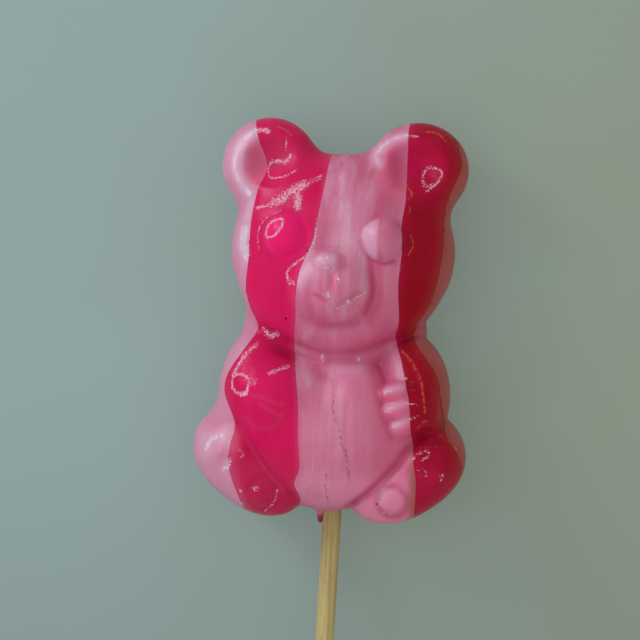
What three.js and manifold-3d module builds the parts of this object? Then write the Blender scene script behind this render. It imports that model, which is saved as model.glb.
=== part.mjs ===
// Bear lollipop: a seated teddy bear moulded from five ribbons of pulled sugar, on a wooden stick.
// Millimetres. +X is the right of the face as seen, +Y runs from the stick to the ears, +Z is out
// of the face. The bear lies on its back and the origin is the middle of the flat it rests on.

import * as THREE from 'three';
import * as BufferGeometryUtils from 'three/addons/utils/BufferGeometryUtils.js';
import Module from 'manifold-3d';

const wasm = await Module();
wasm.setup();

// ---------------------------------------------------------------- driving dimensions

const BACK_DEPTH = 10.6; // from the flat on the back to the widest section of the bear
const SEAM_GAP = 0.3; // between neighbouring ribbons, and round the stick
const FACET = 1.52; // size of the facets on the front
const PLAIN_BELOW = 3; // behind this depth the bear is plain, with facets twice as large

const STICK = { diameter: 4, length: 150, buried: 46, x: 0.8, z: -1.5, sides: 20 };
const DRIP = { x: -1.7, top: -34.5, length: 4.4, radius: 0.8, segments: 8 };
const BEAR_BOX = { low: [-33, -42, -15], high: [33, 50, 22] }; // clear of the bear all round

// Lobes of the bear, as ellipsoids. Depth z counts from the widest section, positive to the front.
// A lobe with a pair has its mirror image on the other side of its middle. Turn is about Z, in
// degrees.
const HEAD = { at: [0.1, 19.2, 2.0], radii: [24.2, 21.0, 13.6] };
const JAW = { at: [0.1, 10.6, 5.4], radii: [20.3, 13.0, 9.4] };
const EARS = [
  { at: [-17.0, 37.0, 1.0], radii: [10.4, 10.2, 7.6] },
  { at: [15.3, 37.6, 1.0], radii: [10.8, 10.2, 7.6] },
];
const EAR_DISHES = [
  { at: [-15.3, 37.2, 13.3], radii: [8.6, 8.4, 8.2] },
  { at: [15.1, 37.4, 13.1], radii: [8.9, 8.2, 8.2] },
];
const MUZZLE = { at: [-0.9, 11.3, 11.6], radii: [9.7, 8.5, 7.5] };
const NOSE = { at: [-1.1, 16.3, 16.5], radii: [3.3, 2.4, 2.6] };
const EYES = [
  { at: [-10.7, 21.7, 12.0], radii: [5.2, 5.2, 4.6] },
  { at: [9.5, 21.9, 12.0], radii: [5.0, 5.0, 5.0] },
];
const NECK = { at: [-0.5, 3.0, 1.0], radii: [19.7, 10.0, 8.5] };
const SPINE = { at: [0.6, -9.2, -2.6], radii: [15, 27.6, 9.6] };
const BELLY = { at: [0, -20.9, 3.0], radii: [22.6, 15.4, 12.6] };
const BELLY_TOP = { at: [7.8, -13.4, 4.8], radii: [8.6, 8.8, 9.8], pair: true, middle: -1.7 };
const HIP = { at: [17.8, -23.8, 1.0], radii: [11.7, 10.4, 9.6], pair: true, middle: 0.3 };
const FOOT = { at: [16.3, -28.3, 3.0], radii: [13.0, 9.0, 9.4], turn: 34, pair: true, middle: 0.2 };
const ARM = { at: [17.4, -9.8, 2.6], radii: [7.5, 12.4, 9.2], turn: 10, pair: true, middle: 0.2 };
const HANDS = [
  { at: [-13.8, -13.2, 8.0], radii: [7.6, 8.3, 6.9] },
  { at: [17.0, -13.7, 7.4], radii: [5.4, 6.6, 6.8] },
];

// Only the right hand came out of the mould with separate fingers.
const FINGER = { radii: [4.2, 2.3, 3.7], turn: 18 };
const FINGER_PLACES = [
  [14.4, -10.2, 11.2],
  [14.7, -13.9, 11.2],
  [15.9, -17.6, 10.6],
];
const TOE = { radius: 2.2, rise: 0.8 };
const TOE_PLACES = [
  [-24.6, -26.1],
  [-19.2, -25.3],
  [18.4, -24.7],
  [23.8, -27.5],
];
const PAW_PAD_PLACES = [
  [-13.8, -33.6],
  [14.7, -33.5],
];
const PAW_PAD = { radius: 3.2, width: 0.8, depth: 0.6 };
const LEG_CREASE = [
  [20.5, -18.5], [16.6, -22.7], [14.1, -26.4], [11.4, -29.6], [8.6, -32.4], [5.2, -35.0],
];
const LEG_GROOVE = { width: 1.0, depth: 0.8 };
const LEFT_SHARE = 0.6; // of the depth of the leg crease and the pad on the left

// The mouth is a groove in plan: the line under the nose, and a short and a long lip.
const MOUTH_LINES = [
  [[0.1, 14.4], [0.2, 10.6], [-1.8, 9.7], [-4.2, 9.0]],
  [[0.2, 10.6], [1.0, 7.0], [3.4, 8.4], [5.5, 9.7], [7.0, 10.8]],
];
const MOUTH_GROOVE = { width: 0.9, depth: 1.0 };
// Below the arms the bear is turned a little to its left, so its front sits further to the right.
const TWIST = { share: 0.2, about: 5, starts: -6, runs: 20 };

const RELIEF_STARTS = 2; // the grooves and pads fade in over this depth and the next few
const RELIEF_FADE = 3;

// How softly neighbouring forms run into each other.
const BLEND = {
  eye: 0.8, body: 1, face: 1.1, nose: 1.2, dish: 1.3, limb: 2.6, jaw: 3, back: 4, ear: 4.6,
};

// The four lines in plan where the ribbons of sugar meet, from the ears down to the feet.
const RIBBON_LINES = {
  leftPaleToCrimson: [
    [-21.4, 52], [-20.3, 46.1], [-18.6, 41.0], [-17.0, 36.0], [-18.4, 31.0], [-19.2, 25.0],
    [-19.2, 17.0], [-19.6, 10.6], [-18.6, 6.0], [-16.6, 1.6], [-19.3, -3.5], [-22.3, -8.6],
    [-22.7, -12.8], [-20.0, -19.0], [-20.6, -24.0], [-20.4, -29.1], [-18.0, -35.9], [-15.5, -44],
  ],
  leftCrimsonToCentre: [
    [-3.2, 52], [-3.4, 36.0], [-4.2, 26.6], [-4.9, 21.2], [-7.2, 14.0], [-8.0, 4.0], [-8.4, -2.8],
    [-6.9, -9.3], [-6.0, -14.6], [-5.5, -22.0], [-5.1, -27.6], [-6.2, -31.1], [-5.2, -34.2],
    [-6.3, -38], [-6.6, -44],
  ],
  centreToRightCrimson: [
    [12.6, 52], [13.2, 43.0], [13.2, 38.6], [13.8, 31.0], [13.5, 25.6], [14.0, 21.2], [13.6, 12.6],
    [14.0, 5.0], [13.2, 1.0], [14.8, -3.2], [17.4, -11.7], [18.2, -18.5], [19.1, -25.0],
    [19.8, -31.0], [18.6, -44],
  ],
  rightCrimsonToPale: [
    [22.0, 52], [23.4, 44.2], [24.8, 38.5], [22.3, 31.2], [21.9, 26.4], [22.2, 20.0], [20.5, 9.8],
    [17.5, 4.0], [17.3, 0.9], [22.4, -6.0], [24.0, -12.6], [24.9, -17.9], [28.1, -22.7],
    [29.4, -26.2], [34, -31],
  ],
};
const RIBBON_LINE_STEPS = 32;
const CLEAR_OF_BEAR = 60; // sideways reach of a cutting block, past every outline
const CUT_DEPTH = 80; // thickness of a cutting block, more than the bear's

const TOUCHING = 1e-4; // vertices closer than this are one
const SLOPE_NUDGE = 0.05; // over which the slope of the form is measured
const LEAST_SLOPE = 0.2; // squared, where forms meet and the slope fades
const LARGEST_SHIFT = 0.3; // of a vertex onto the surface, as a share of its cell
const FILL = 0.3; // depth of a filled gap, as a share of a facet

const COLOURS = { pale: 0xe08fae, crimson: 0xcb1450, wood: 0xc7ae72 };

// ---------------------------------------------------------------- the form of the sugar

// Distance from a point to an ellipsoid lobe, negative inside.
function lobe(x, y, z, { at, radii, turn = 0, pair = false, middle = 0 }) {
  const angle = THREE.MathUtils.degToRad(turn);
  const dx = (pair ? Math.abs(x - middle) : x) - at[0];
  const dy = y - at[1];
  const u = dx * Math.cos(angle) + dy * Math.sin(angle);
  const v = dy * Math.cos(angle) - dx * Math.sin(angle);
  const w = z - at[2];
  const scaled = Math.hypot(u / radii[0], v / radii[1], w / radii[2]);
  const slope = Math.hypot(u / radii[0] ** 2, v / radii[1] ** 2, w / radii[2] ** 2);
  return (scaled * (scaled - 1)) / (slope + 1e-9);
}

// The union of two forms, with a fillet about as wide as softness between them.
function blend(a, b, softness) {
  const overlap = Math.max(softness - Math.abs(a - b), 0) / softness;
  return Math.min(a, b) - (overlap * overlap * softness) / 4;
}

// The first form with the second hollowed out of it.
function hollow(a, b, softness) {
  return -blend(-a, b, softness);
}

function distanceToLine(x, y, points) {
  let nearest = Infinity;
  for (let i = 1; i < points.length; i += 1) {
    const [ax, ay] = points[i - 1];
    const ux = points[i][0] - ax;
    const uy = points[i][1] - ay;
    const along = ((x - ax) * ux + (y - ay) * uy) / (ux * ux + uy * uy);
    const t = THREE.MathUtils.clamp(along, 0, 1);
    nearest = Math.min(nearest, Math.hypot(x - ax - t * ux, y - ay - t * uy));
  }
  return nearest;
}

// A bell curve of the given half width, for the section of a groove or a pad.
function bell(distance, width) {
  return Math.exp(-((distance / width) ** 2));
}

function headForm(x, y, z) {
  const skull = blend(lobe(x, y, z, HEAD), lobe(x, y, z, JAW), BLEND.jaw);
  const head = EARS.reduce((form, ear, side) => {
    const cupped = hollow(lobe(x, y, z, ear), lobe(x, y, z, EAR_DISHES[side]), BLEND.dish);
    return blend(form, cupped, BLEND.ear);
  }, skull);
  const face = blend(head, lobe(x, y, z, MUZZLE), BLEND.face);
  const nosed = blend(face, lobe(x, y, z, NOSE), BLEND.nose);
  return EYES.reduce((form, eye) => blend(form, lobe(x, y, z, eye), BLEND.eye), nosed);
}

function bodyForm(x, y, z) {
  const belly = blend(lobe(x, y, z, BELLY), lobe(x, y, z, BELLY_TOP), BLEND.limb);
  const leg = blend(lobe(x, y, z, HIP), lobe(x, y, z, FOOT), BLEND.limb);
  const arm = HANDS.reduce(
    (form, hand) => blend(form, lobe(x, y, z, hand), BLEND.limb),
    lobe(x, y, z, ARM),
  );
  const trunk = blend(lobe(x, y, z, NECK), belly, BLEND.body);
  let body = blend(blend(trunk, leg, BLEND.body), arm, BLEND.body);
  for (const at of FINGER_PLACES) {
    body = blend(body, lobe(x, y, z, { ...FINGER, at }), BLEND.body);
  }
  return body;
}

// Grooves count as positive and raised toes as negative.
function relief(x, y, z) {
  const shown = THREE.MathUtils.clamp((z - RELIEF_STARTS) / RELIEF_FADE, 0, 1);
  if (shown === 0) return 0;
  let change = 0;
  for (const line of MOUTH_LINES) {
    const groove = MOUTH_GROOVE.depth * bell(distanceToLine(x, y, line), MOUTH_GROOVE.width);
    change = Math.max(change, groove);
  }
  const side = Math.abs(x);
  const sharp = x < 0 ? LEFT_SHARE : 1;
  for (const [padX, padY] of PAW_PAD_PLACES) {
    const fromRim = Math.hypot(x - padX, y - padY) - PAW_PAD.radius;
    change += sharp * PAW_PAD.depth * bell(fromRim, PAW_PAD.width);
  }
  change += sharp * LEG_GROOVE.depth * bell(distanceToLine(side, y, LEG_CREASE), LEG_GROOVE.width);
  for (const [toeX, toeY] of TOE_PLACES) {
    change -= TOE.rise * bell(Math.hypot(x - toeX, y - toeY), TOE.radius);
  }
  return change * shown;
}

// How far the twist moves the sugar at this height and depth to the right.
function twistAt(y, z) {
  const turned = THREE.MathUtils.smoothstep(TWIST.starts - y, 0, TWIST.runs);
  return TWIST.share * turned * (z - TWIST.about);
}

function bearForm(rowX, y, z) {
  const x = rowX - twistAt(y, z);
  const figure = blend(headForm(x, y, z), bodyForm(x, y, z), BLEND.body);
  return blend(figure, lobe(x, y, z, SPINE), BLEND.back) + relief(x, y, z);
}

// ---------------------------------------------------------------- from form to facets

// A closed surface where the form is zero: one vertex in every cell that the surface crosses,
// joined round every grid edge that it crosses. Cells behind plainBelow are twice as large.
function surfaceOf(form, { low, high }, step, plainBelow) {
  const grid = {
    low,
    step,
    count: low.map((value, axis) => 2 * Math.ceil((high[axis] - value) / step / 2)),
    plainLayers: 2 * Math.round((plainBelow - low[2]) / step / 2),
  };
  const sample = sampleForm(form, grid);
  closeNarrowGaps(sample, grid);

  const positions = [];
  const vertexOfCell = new Map();
  function vertexAt(cell) {
    const corner = sample.cornerOf(cell);
    const key = sample.keyOf(corner);
    if (!vertexOfCell.has(key)) {
      vertexOfCell.set(key, positions.length / 3);
      const size = corner[2] < grid.plainLayers ? 2 : 1;
      positions.push(...settle(form, meanCrossing(sample, grid, corner, size), size * step));
    }
    return vertexOfCell.get(key);
  }

  const triangles = [];
  forEachPoint(grid, (point) => addFacets(point, sample, vertexAt, triangles));
  const geometry = new THREE.BufferGeometry();
  geometry.setAttribute('position', new THREE.Float32BufferAttribute(positions, 3));
  geometry.setIndex(triangles);
  return geometry;
}

function forEachPoint({ count }, visit) {
  for (let k = 1; k < count[2]; k += 1) {
    for (let j = 1; j < count[1]; j += 1) {
      for (let i = 1; i < count[0]; i += 1) visit([i, j, k]);
    }
  }
}

function offset(point, steps) {
  return point.map((index, axis) => index + steps[axis]);
}

// The form at the points of the grid. In the plain layers only every second point counts, and
// the points between take its value.
function sampleForm(form, { low, step, count, plainLayers }) {
  const values = new Map();
  const cornerOf = (point) => (point[2] < plainLayers ? point.map((index) => index & ~1) : point);
  const keyOf = ([i, j, k]) => (k * (count[1] + 1) + j) * (count[0] + 1) + i;
  const valueAt = (point) => {
    const corner = cornerOf(point);
    const key = keyOf(corner);
    if (!values.has(key)) {
      values.set(key, form(...corner.map((index, axis) => low[axis] + index * step)));
    }
    return values.get(key);
  };
  const fillAt = (point) => values.set(keyOf(cornerOf(point)), -FILL * step);
  return { cornerOf, keyOf, valueAt, fillAt };
}

// Fills the cracks that are narrower than a cell. They show as a square of the grid with its
// two diagonals on different sides of the surface, where four facets would share an edge.
function closeNarrowGaps(sample, grid) {
  const squares = [[0, 1], [1, 2], [2, 0]].map(([u, v]) => {
    const unit = (...axes) => [0, 1, 2].map((axis) => (axes.includes(axis) ? 1 : 0));
    return [unit(), unit(u), unit(u, v), unit(v)];
  });
  let filled = true;
  while (filled) {
    filled = false;
    forEachPoint(grid, (point) => {
      for (const square of squares) {
        const corners = square.map((steps) => offset(point, steps));
        const values = corners.map(sample.valueAt);
        const inside = values.map((value) => value < 0);
        if (inside[0] !== inside[2] || inside[1] !== inside[3] || inside[0] === inside[1]) continue;
        const outer = inside[0] ? [1, 3] : [0, 2];
        const nearest = values[outer[0]] < values[outer[1]] ? outer[0] : outer[1];
        sample.fillAt(corners[nearest]);
        filled = true;
      }
    });
  }
}

// The mean of the points where the surface crosses the twelve edges of a cell, or its middle.
function meanCrossing(sample, { low, step }, corner, size) {
  const origin = new THREE.Vector3(...low);
  const place = (point) => new THREE.Vector3(...point).multiplyScalar(step).add(origin);
  const mean = new THREE.Vector3();
  let found = 0;
  for (let axis = 0; axis < 3; axis += 1) {
    for (let edge = 0; edge < 4; edge += 1) {
      const from = [...corner];
      from[(axis + 1) % 3] += (edge & 1) * size;
      from[(axis + 2) % 3] += (edge >> 1) * size;
      const to = [...from];
      to[axis] += size;
      const a = sample.valueAt(from);
      const b = sample.valueAt(to);
      if (a < 0 !== b < 0) {
        mean.add(place(from).lerp(place(to), a / (a - b)));
        found += 1;
      }
    }
  }
  return found ? mean.divideScalar(found) : place(offset(corner, [size / 2, size / 2, size / 2]));
}

// Moves a point onto the surface along its slope, by less than a third of a cell.
function settle(form, { x, y, z }, size) {
  const nudge = SLOPE_NUDGE;
  const slope = new THREE.Vector3(
    form(x + nudge, y, z) - form(x - nudge, y, z),
    form(x, y + nudge, z) - form(x, y - nudge, z),
    form(x, y, z + nudge) - form(x, y, z - nudge),
  ).divideScalar(2 * nudge);
  const step = slope.multiplyScalar(-form(x, y, z) / Math.max(slope.lengthSq(), LEAST_SLOPE));
  return new THREE.Vector3(x, y, z).add(step.clampLength(0, LARGEST_SHIFT * size)).toArray();
}

// The facets round the three grid edges that leave one grid point in +X, +Y and +Z.
function addFacets(point, sample, vertexAt, triangles) {
  const inside = sample.valueAt(point) < 0;
  for (let axis = 0; axis < 3; axis += 1) {
    const next = [...point];
    next[axis] += 1;
    if (inside === sample.valueAt(next) < 0) continue;
    const ring = [[0, 0], [1, 0], [1, 1], [0, 1]].map(([du, dv]) => {
      const cell = [...point];
      cell[(axis + 1) % 3] -= du;
      cell[(axis + 2) % 3] -= dv;
      return vertexAt(cell);
    });
    const corners = ring.filter((vertex, i) => vertex !== ring[(i + 3) % 4]);
    if (!inside) corners.reverse();
    for (let i = 2; i < corners.length; i += 1) {
      triangles.push(corners[0], corners[i - 1], corners[i]);
    }
  }
}

// ---------------------------------------------------------------- joining and cutting

function solidOf(geometry) {
  const bare = geometry.clone();
  bare.deleteAttribute('normal');
  bare.deleteAttribute('uv');
  const merged = BufferGeometryUtils.mergeVertices(bare, TOUCHING);
  return new wasm.Manifold(
    new wasm.Mesh({
      numProp: 3,
      vertProperties: new Float32Array(merged.getAttribute('position').array),
      triVerts: new Uint32Array(merged.getIndex().array),
    }),
  );
}

function geometryOf(solid) {
  const mesh = solid.getMesh();
  const geometry = new THREE.BufferGeometry();
  geometry.setAttribute('position', new THREE.BufferAttribute(mesh.vertProperties, 3));
  geometry.setIndex(new THREE.BufferAttribute(mesh.triVerts, 1));
  return geometry;
}

function roundBar(diameter, length) {
  return new THREE.CylinderGeometry(diameter / 2, diameter / 2, length, STICK.sides);
}

// ---------------------------------------------------------------- sub-parts

function bearSolid() {
  const whole = solidOf(surfaceOf(bearForm, BEAR_BOX, FACET, PLAIN_BELOW));
  const above = new THREE.BoxGeometry(2 * CLEAR_OF_BEAR, 2 * CLEAR_OF_BEAR, CUT_DEPTH);
  above.translate(0, 0, CUT_DEPTH / 2 - BACK_DEPTH);
  return whole.intersect(solidOf(above));
}

// A run of sugar left on the stick where the mould was filled.
function dripSolid() {
  const drip = new THREE.CapsuleGeometry(DRIP.radius, DRIP.length, DRIP.segments / 2, DRIP.segments);
  drip.translate(DRIP.x, DRIP.top - DRIP.length / 2, STICK.z);
  return solidOf(drip);
}

function boreSolid() {
  const bore = roundBar(STICK.diameter + 2 * SEAM_GAP, STICK.buried + CLEAR_OF_BEAR);
  bore.translate(STICK.x, buriedEnd() + SEAM_GAP - (STICK.buried + CLEAR_OF_BEAR) / 2, STICK.z);
  return solidOf(bore);
}

// The stick enters at the seat of the bear, so its hidden end is that much further up.
function buriedEnd() {
  return BELLY.at[1] - BELLY.radii[1] + STICK.buried;
}

function smoothLine(points, shift) {
  const curve = new THREE.SplineCurve(points.map(([x, y]) => new THREE.Vector2(x + shift, y)));
  return curve.getSpacedPoints(RIBBON_LINE_STEPS);
}

// A block between two lines in plan that runs right through the bear from front to back.
// A missing line stands for everything out to that side.
function ribbonBlock(leftLine, rightLine) {
  const far = (x) => [new THREE.Vector2(x, CLEAR_OF_BEAR), new THREE.Vector2(x, -CLEAR_OF_BEAR)];
  const left = leftLine ? smoothLine(leftLine, SEAM_GAP / 2) : far(-CLEAR_OF_BEAR);
  const right = rightLine ? smoothLine(rightLine, -SEAM_GAP / 2) : far(CLEAR_OF_BEAR);
  const outline = new THREE.Shape([...left, ...right.reverse()]);
  const block = new THREE.ExtrudeGeometry(outline, { depth: CUT_DEPTH, bevelEnabled: false });
  block.translate(0, 0, -CUT_DEPTH / 2);
  return solidOf(block);
}

function sugarRibbons() {
  const bear = bearSolid();
  const { leftPaleToCrimson, leftCrimsonToCentre } = RIBBON_LINES;
  const { centreToRightCrimson, rightCrimsonToPale } = RIBBON_LINES;
  const centre = bear
    .intersect(ribbonBlock(leftCrimsonToCentre, centreToRightCrimson))
    .add(dripSolid())
    .subtract(boreSolid());
  return {
    ribbon_left_pale: bear.intersect(ribbonBlock(null, leftPaleToCrimson)),
    ribbon_left_crimson: bear.intersect(ribbonBlock(leftPaleToCrimson, leftCrimsonToCentre)),
    ribbon_centre_pale: centre,
    ribbon_right_crimson: bear.intersect(ribbonBlock(centreToRightCrimson, rightCrimsonToPale)),
    ribbon_right_pale: bear.intersect(ribbonBlock(rightCrimsonToPale, null)),
  };
}

function stickMesh() {
  const material = new THREE.MeshStandardMaterial({
    color: COLOURS.wood,
    roughness: 0.7,
    metalness: 0,
  });
  const mesh = new THREE.Mesh(roundBar(STICK.diameter, STICK.length), material);
  mesh.name = 'stick';
  mesh.position.set(STICK.x, buriedEnd() - STICK.length / 2, STICK.z);
  return mesh;
}

function ribbonMesh(name, solid) {
  const material = new THREE.MeshStandardMaterial({
    color: name.endsWith('pale') ? COLOURS.pale : COLOURS.crimson,
    roughness: 0.25,
    metalness: 0,
  });
  const mesh = new THREE.Mesh(geometryOf(solid), material);
  mesh.name = name;
  return mesh;
}

const lollipop = new THREE.Group();
for (const [name, solid] of Object.entries(sugarRibbons())) {
  lollipop.add(ribbonMesh(name, solid));
}
lollipop.add(stickMesh());
lollipop.position.z = BACK_DEPTH;

export default lollipop;
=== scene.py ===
"""Bear lollipop: five ribbons of pulled sugar moulded into a seated bear, on a wooden stick.

The form of the bear is worked out in millimetres, with depth z counted from its widest section,
as in the part's own source. It goes into the row frame, in metres, when a mesh is made of it.
"""

import math

import bpy
import numpy as np
from mathutils import Matrix, Vector
from mathutils.geometry import delaunay_2d_cdt


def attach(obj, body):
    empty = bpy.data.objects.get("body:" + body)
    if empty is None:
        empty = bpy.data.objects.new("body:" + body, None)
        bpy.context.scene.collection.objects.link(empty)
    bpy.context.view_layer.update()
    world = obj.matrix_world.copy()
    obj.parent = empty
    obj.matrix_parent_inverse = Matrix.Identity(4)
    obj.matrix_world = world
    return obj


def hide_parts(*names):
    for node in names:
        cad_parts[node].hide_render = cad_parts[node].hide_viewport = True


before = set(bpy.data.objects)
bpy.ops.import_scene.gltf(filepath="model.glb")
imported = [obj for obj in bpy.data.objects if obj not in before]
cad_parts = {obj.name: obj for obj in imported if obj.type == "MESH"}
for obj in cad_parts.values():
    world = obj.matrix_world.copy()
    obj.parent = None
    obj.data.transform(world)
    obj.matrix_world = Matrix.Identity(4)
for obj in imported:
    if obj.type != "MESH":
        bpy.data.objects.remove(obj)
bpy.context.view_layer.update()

MM = 0.001

# ---------------------------------------------------------------- the form of the sugar

# Every lobe is an ellipsoid: its middle, its radii and its turn in plan, in degrees. A pair has
# one lobe on each side of the line where x is its middle.
BACK_DEPTH = 10.6  # from the widest section down to the flat that the bear lies on
HEAD = dict(at=(0.1, 19.2, 2.0), radii=(24.2, 21.0, 13.6))
JAW = dict(at=(0.1, 10.6, 5.4), radii=(20.3, 13.0, 9.4))
EARS = (
    dict(at=(-17.0, 37.0, 1.0), radii=(10.4, 10.2, 7.6)),
    dict(at=(15.3, 37.6, 1.0), radii=(10.8, 10.2, 7.6)),
)
EAR_DISHES = (
    dict(at=(-15.3, 37.2, 13.3), radii=(8.6, 8.4, 8.2)),
    dict(at=(15.1, 37.4, 13.1), radii=(8.9, 8.2, 8.2)),
)
MUZZLE = dict(at=(-0.9, 11.3, 11.6), radii=(9.7, 8.5, 7.5))
MUZZLE_VALLEY = dict(at=(-0.9, 11.2), radii=(10.1, 8.4), width=1.2, depth=0.6,
                     rise=(-4.0, 8.0), slant=0.3)
NOSE = dict(at=(-1.1, 16.3, 16.5), radii=(3.3, 2.4, 2.6))
EYES = (
    dict(at=(-10.7, 21.7, 12.0), radii=(5.2, 5.2, 4.6)),
    dict(at=(9.5, 21.9, 12.0), radii=(5.0, 5.0, 5.0)),
)
NECK = dict(at=(-0.5, 3.0, 1.0), radii=(19.7, 10.0, 8.5))
SPINE = dict(at=(0.6, -9.2, -2.6), radii=(15, 27.6, 9.6))
BELLY = dict(at=(0, -20.9, 3.0), radii=(22.6, 15.4, 12.6))
BELLY_TOP = dict(at=(7.8, -13.4, 4.8), radii=(8.6, 8.8, 9.8), pair=True, middle=-1.7)
HIP = dict(at=(17.8, -23.8, 1.0), radii=(11.7, 10.4, 9.6), pair=True, middle=0.3)
FOOT = dict(at=(16.3, -28.3, 3.0), radii=(13.0, 9.0, 9.4), turn=34, pair=True, middle=0.2)
ARM = dict(at=(17.4, -9.8, 2.6), radii=(7.5, 12.4, 9.2), turn=10, pair=True, middle=0.2)
HANDS = (
    dict(at=(-13.8, -13.2, 8.0), radii=(7.6, 8.3, 6.9)),
    dict(at=(17.0, -13.7, 7.4), radii=(5.4, 6.6, 6.8)),
)
FINGER = dict(radii=(4.2, 2.3, 3.7), turn=18)
FINGER_PLACES = ((14.4, -10.2, 11.2), (14.7, -13.9, 11.2), (15.9, -17.6, 10.6))
FINGER_LINES = (
    ((-16.2, -12.6), (-13.2, -13.3), (-9.6, -14.4)),
    ((-14.2, -14.5), (-11.1, -16.0), (-9.9, -17.0)),
)
FINGER_GROOVE = dict(width=0.9, depth=0.14)
TOE = dict(radius=2.2, rise=0.8)
TOE_PLACES = ((-24.6, -26.1), (-19.2, -25.3), (18.4, -24.7), (23.8, -27.5))
PAW_PADS = ((-13.8, -33.6), (14.7, -33.5))
PAD = dict(radius=3.2, width=0.8, depth=0.5)
LEG_CREASE = (
    (20.5, -18.5), (16.6, -22.7), (14.1, -26.4), (11.4, -29.6), (8.6, -32.4), (5.2, -35.0),
)
LEG_GROOVE = dict(width=0.8, depth=0.7)
LEFT_SHARE = 0.5  # the left side came out of the mould less sharp
LEFT_LIP = ((-3.6, 9.5), (-2.2, 8.8), (-1.1, 8.2))
FACE_GROOVES = (
    dict(line=((0.1, 14.6), (0.2, 12.6), (0.3, 10.6)), width=0.75, depth=0.6),
    dict(line=LEFT_LIP, width=0.5, depth=0.28),
    dict(line=((-2.0, 9.9), (-0.7, 10.2), (0.3, 10.6)), width=0.4, depth=0.22),
    dict(line=((1.0, 6.9), (2.7, 7.7), (5.1, 9.5), (7.0, 10.8)), width=0.45, depth=0.28),
    dict(line=((2.2, 17.2), (2.3, 14.4)), width=0.7, depth=0.4),
)
CHIN_CREASE = dict(
    line=((-15.8, 2.8), (-12.4, 0.7), (-9.2, -0.9), (-6.0, -2.0), (-2.8, -2.6), (0.4, -2.8),
          (3.6, -2.5), (6.6, -1.8), (9.4, -0.7), (13.4, 1.8)),
    width=0.9, depth=0.5, fade=3.0,
)
DRIP = dict(at=(-1.7, -36.9, -1.5), radii=(0.85, 2.9, 0.9))
TWIST = dict(share=0.2, about=5.0, rise=(-6.0, -20.0))  # the lower body turns to its left
RELIEF_STARTS = 2.0  # the relief fades in from this depth upwards
RELIEF_FADE = 3.0
RELIEF_REACH = 1.6  # it is worked out only this near to the surface
GROOVE_END = 0.25  # share of its depth that a groove keeps at the very ends of its line
# How softly the lobes run into each other, in millimetres.
SOFT = dict(eye=0.8, body=1, face=1.1, nose=1.2, dish=1.3, limb=2.6, left=3.2, jaw=3, back=4,
            ear=4.6, drip=0.6)
LEFT_SIDE = (-5.0, -5.0)  # where the left side's softness starts and over what run it grows


TINY = 1e-9


def lobe(p, at, radii, turn=0.0, pair=False, middle=0.0):
    """Distance from the points to an ellipsoid, negative inside."""
    angle = math.radians(turn)
    dx = (np.abs(p[0] - middle) if pair else p[0]) - at[0]
    dy = p[1] - at[1]
    u = dx * math.cos(angle) + dy * math.sin(angle)
    v = dy * math.cos(angle) - dx * math.sin(angle)
    w = p[2] - at[2]
    a, b, c = u / radii[0], v / radii[1], w / radii[2]
    scaled = np.sqrt(a * a + b * b + c * c)
    slope = np.sqrt((a / radii[0]) ** 2 + (b / radii[1]) ** 2 + (c / radii[2]) ** 2)
    return scaled * (scaled - 1) / (slope + TINY)


def blend(a, b, softness):
    """The union of two forms with a soft crease between them."""
    overlap = np.maximum(softness - np.abs(a - b), 0) / softness
    return np.minimum(a, b) - overlap * overlap * softness / 4


def hollow(a, b, softness):
    """The first form with the second taken out of it, with a soft rim."""
    return -blend(-a, b, softness)


def line_distance(x, y, points):
    """Distance in plan to a line through the points."""
    nearest = np.full(x.shape, np.inf)
    for (ax, ay), (bx, by) in zip(points, points[1:]):
        ux, uy = bx - ax, by - ay
        t = np.clip(((x - ax) * ux + (y - ay) * uy) / (ux * ux + uy * uy), 0, 1)
        nearest = np.minimum(nearest, np.hypot(x - ax - t * ux, y - ay - t * uy))
    return nearest


def bell(distance, width):
    return np.exp(-((distance / width) ** 2))


def smooth_ramp(t):
    t = np.clip(t, 0, 1)
    return t * t * (3 - 2 * t)


def ramp(value, starts, runs):
    """A soft rise from 0 to 1; a negative run makes it rise towards smaller values."""
    return smooth_ramp((value - starts) / runs)


def fillet(x):
    """Softness of the creases round the arms and under the chin, larger on the left."""
    return SOFT["body"] + (SOFT["left"] - SOFT["body"]) * ramp(x, *LEFT_SIDE)


def head_form(p):
    head = blend(lobe(p, **HEAD), lobe(p, **JAW), SOFT["jaw"])
    for ear, dish in zip(EARS, EAR_DISHES):
        cupped = hollow(lobe(p, **ear), lobe(p, **dish), SOFT["dish"])
        head = blend(head, cupped, SOFT["ear"])
    face = blend(head, lobe(p, **MUZZLE), SOFT["face"])
    face = blend(face, lobe(p, **NOSE), SOFT["nose"])
    for eye in EYES:
        face = blend(face, lobe(p, **eye), SOFT["eye"])
    return face


def body_form(p):
    belly = blend(lobe(p, **BELLY), lobe(p, **BELLY_TOP), SOFT["limb"])
    leg = blend(lobe(p, **HIP), lobe(p, **FOOT), SOFT["limb"])
    arm = lobe(p, **ARM)
    for hand in HANDS:
        arm = blend(arm, lobe(p, **hand), SOFT["limb"])
    trunk = blend(lobe(p, **NECK), belly, SOFT["body"])
    body = blend(blend(trunk, leg, SOFT["body"]), arm, fillet(p[0]))
    for at in FINGER_PLACES:
        body = blend(body, lobe(p, at=at, **FINGER), SOFT["body"])
    return body


def groove(x, y, line, width, depth, fade=1.2):
    """Depth of a groove that runs out softly at both ends of its line."""
    ends = [np.hypot(x - end_x, y - end_y) for end_x, end_y in (line[0], line[-1])]
    run_out = smooth_ramp(GROOVE_END + (1 - GROOVE_END) * np.minimum(*ends) / fade)
    return depth * run_out * bell(line_distance(x, y, line), width)


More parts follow.
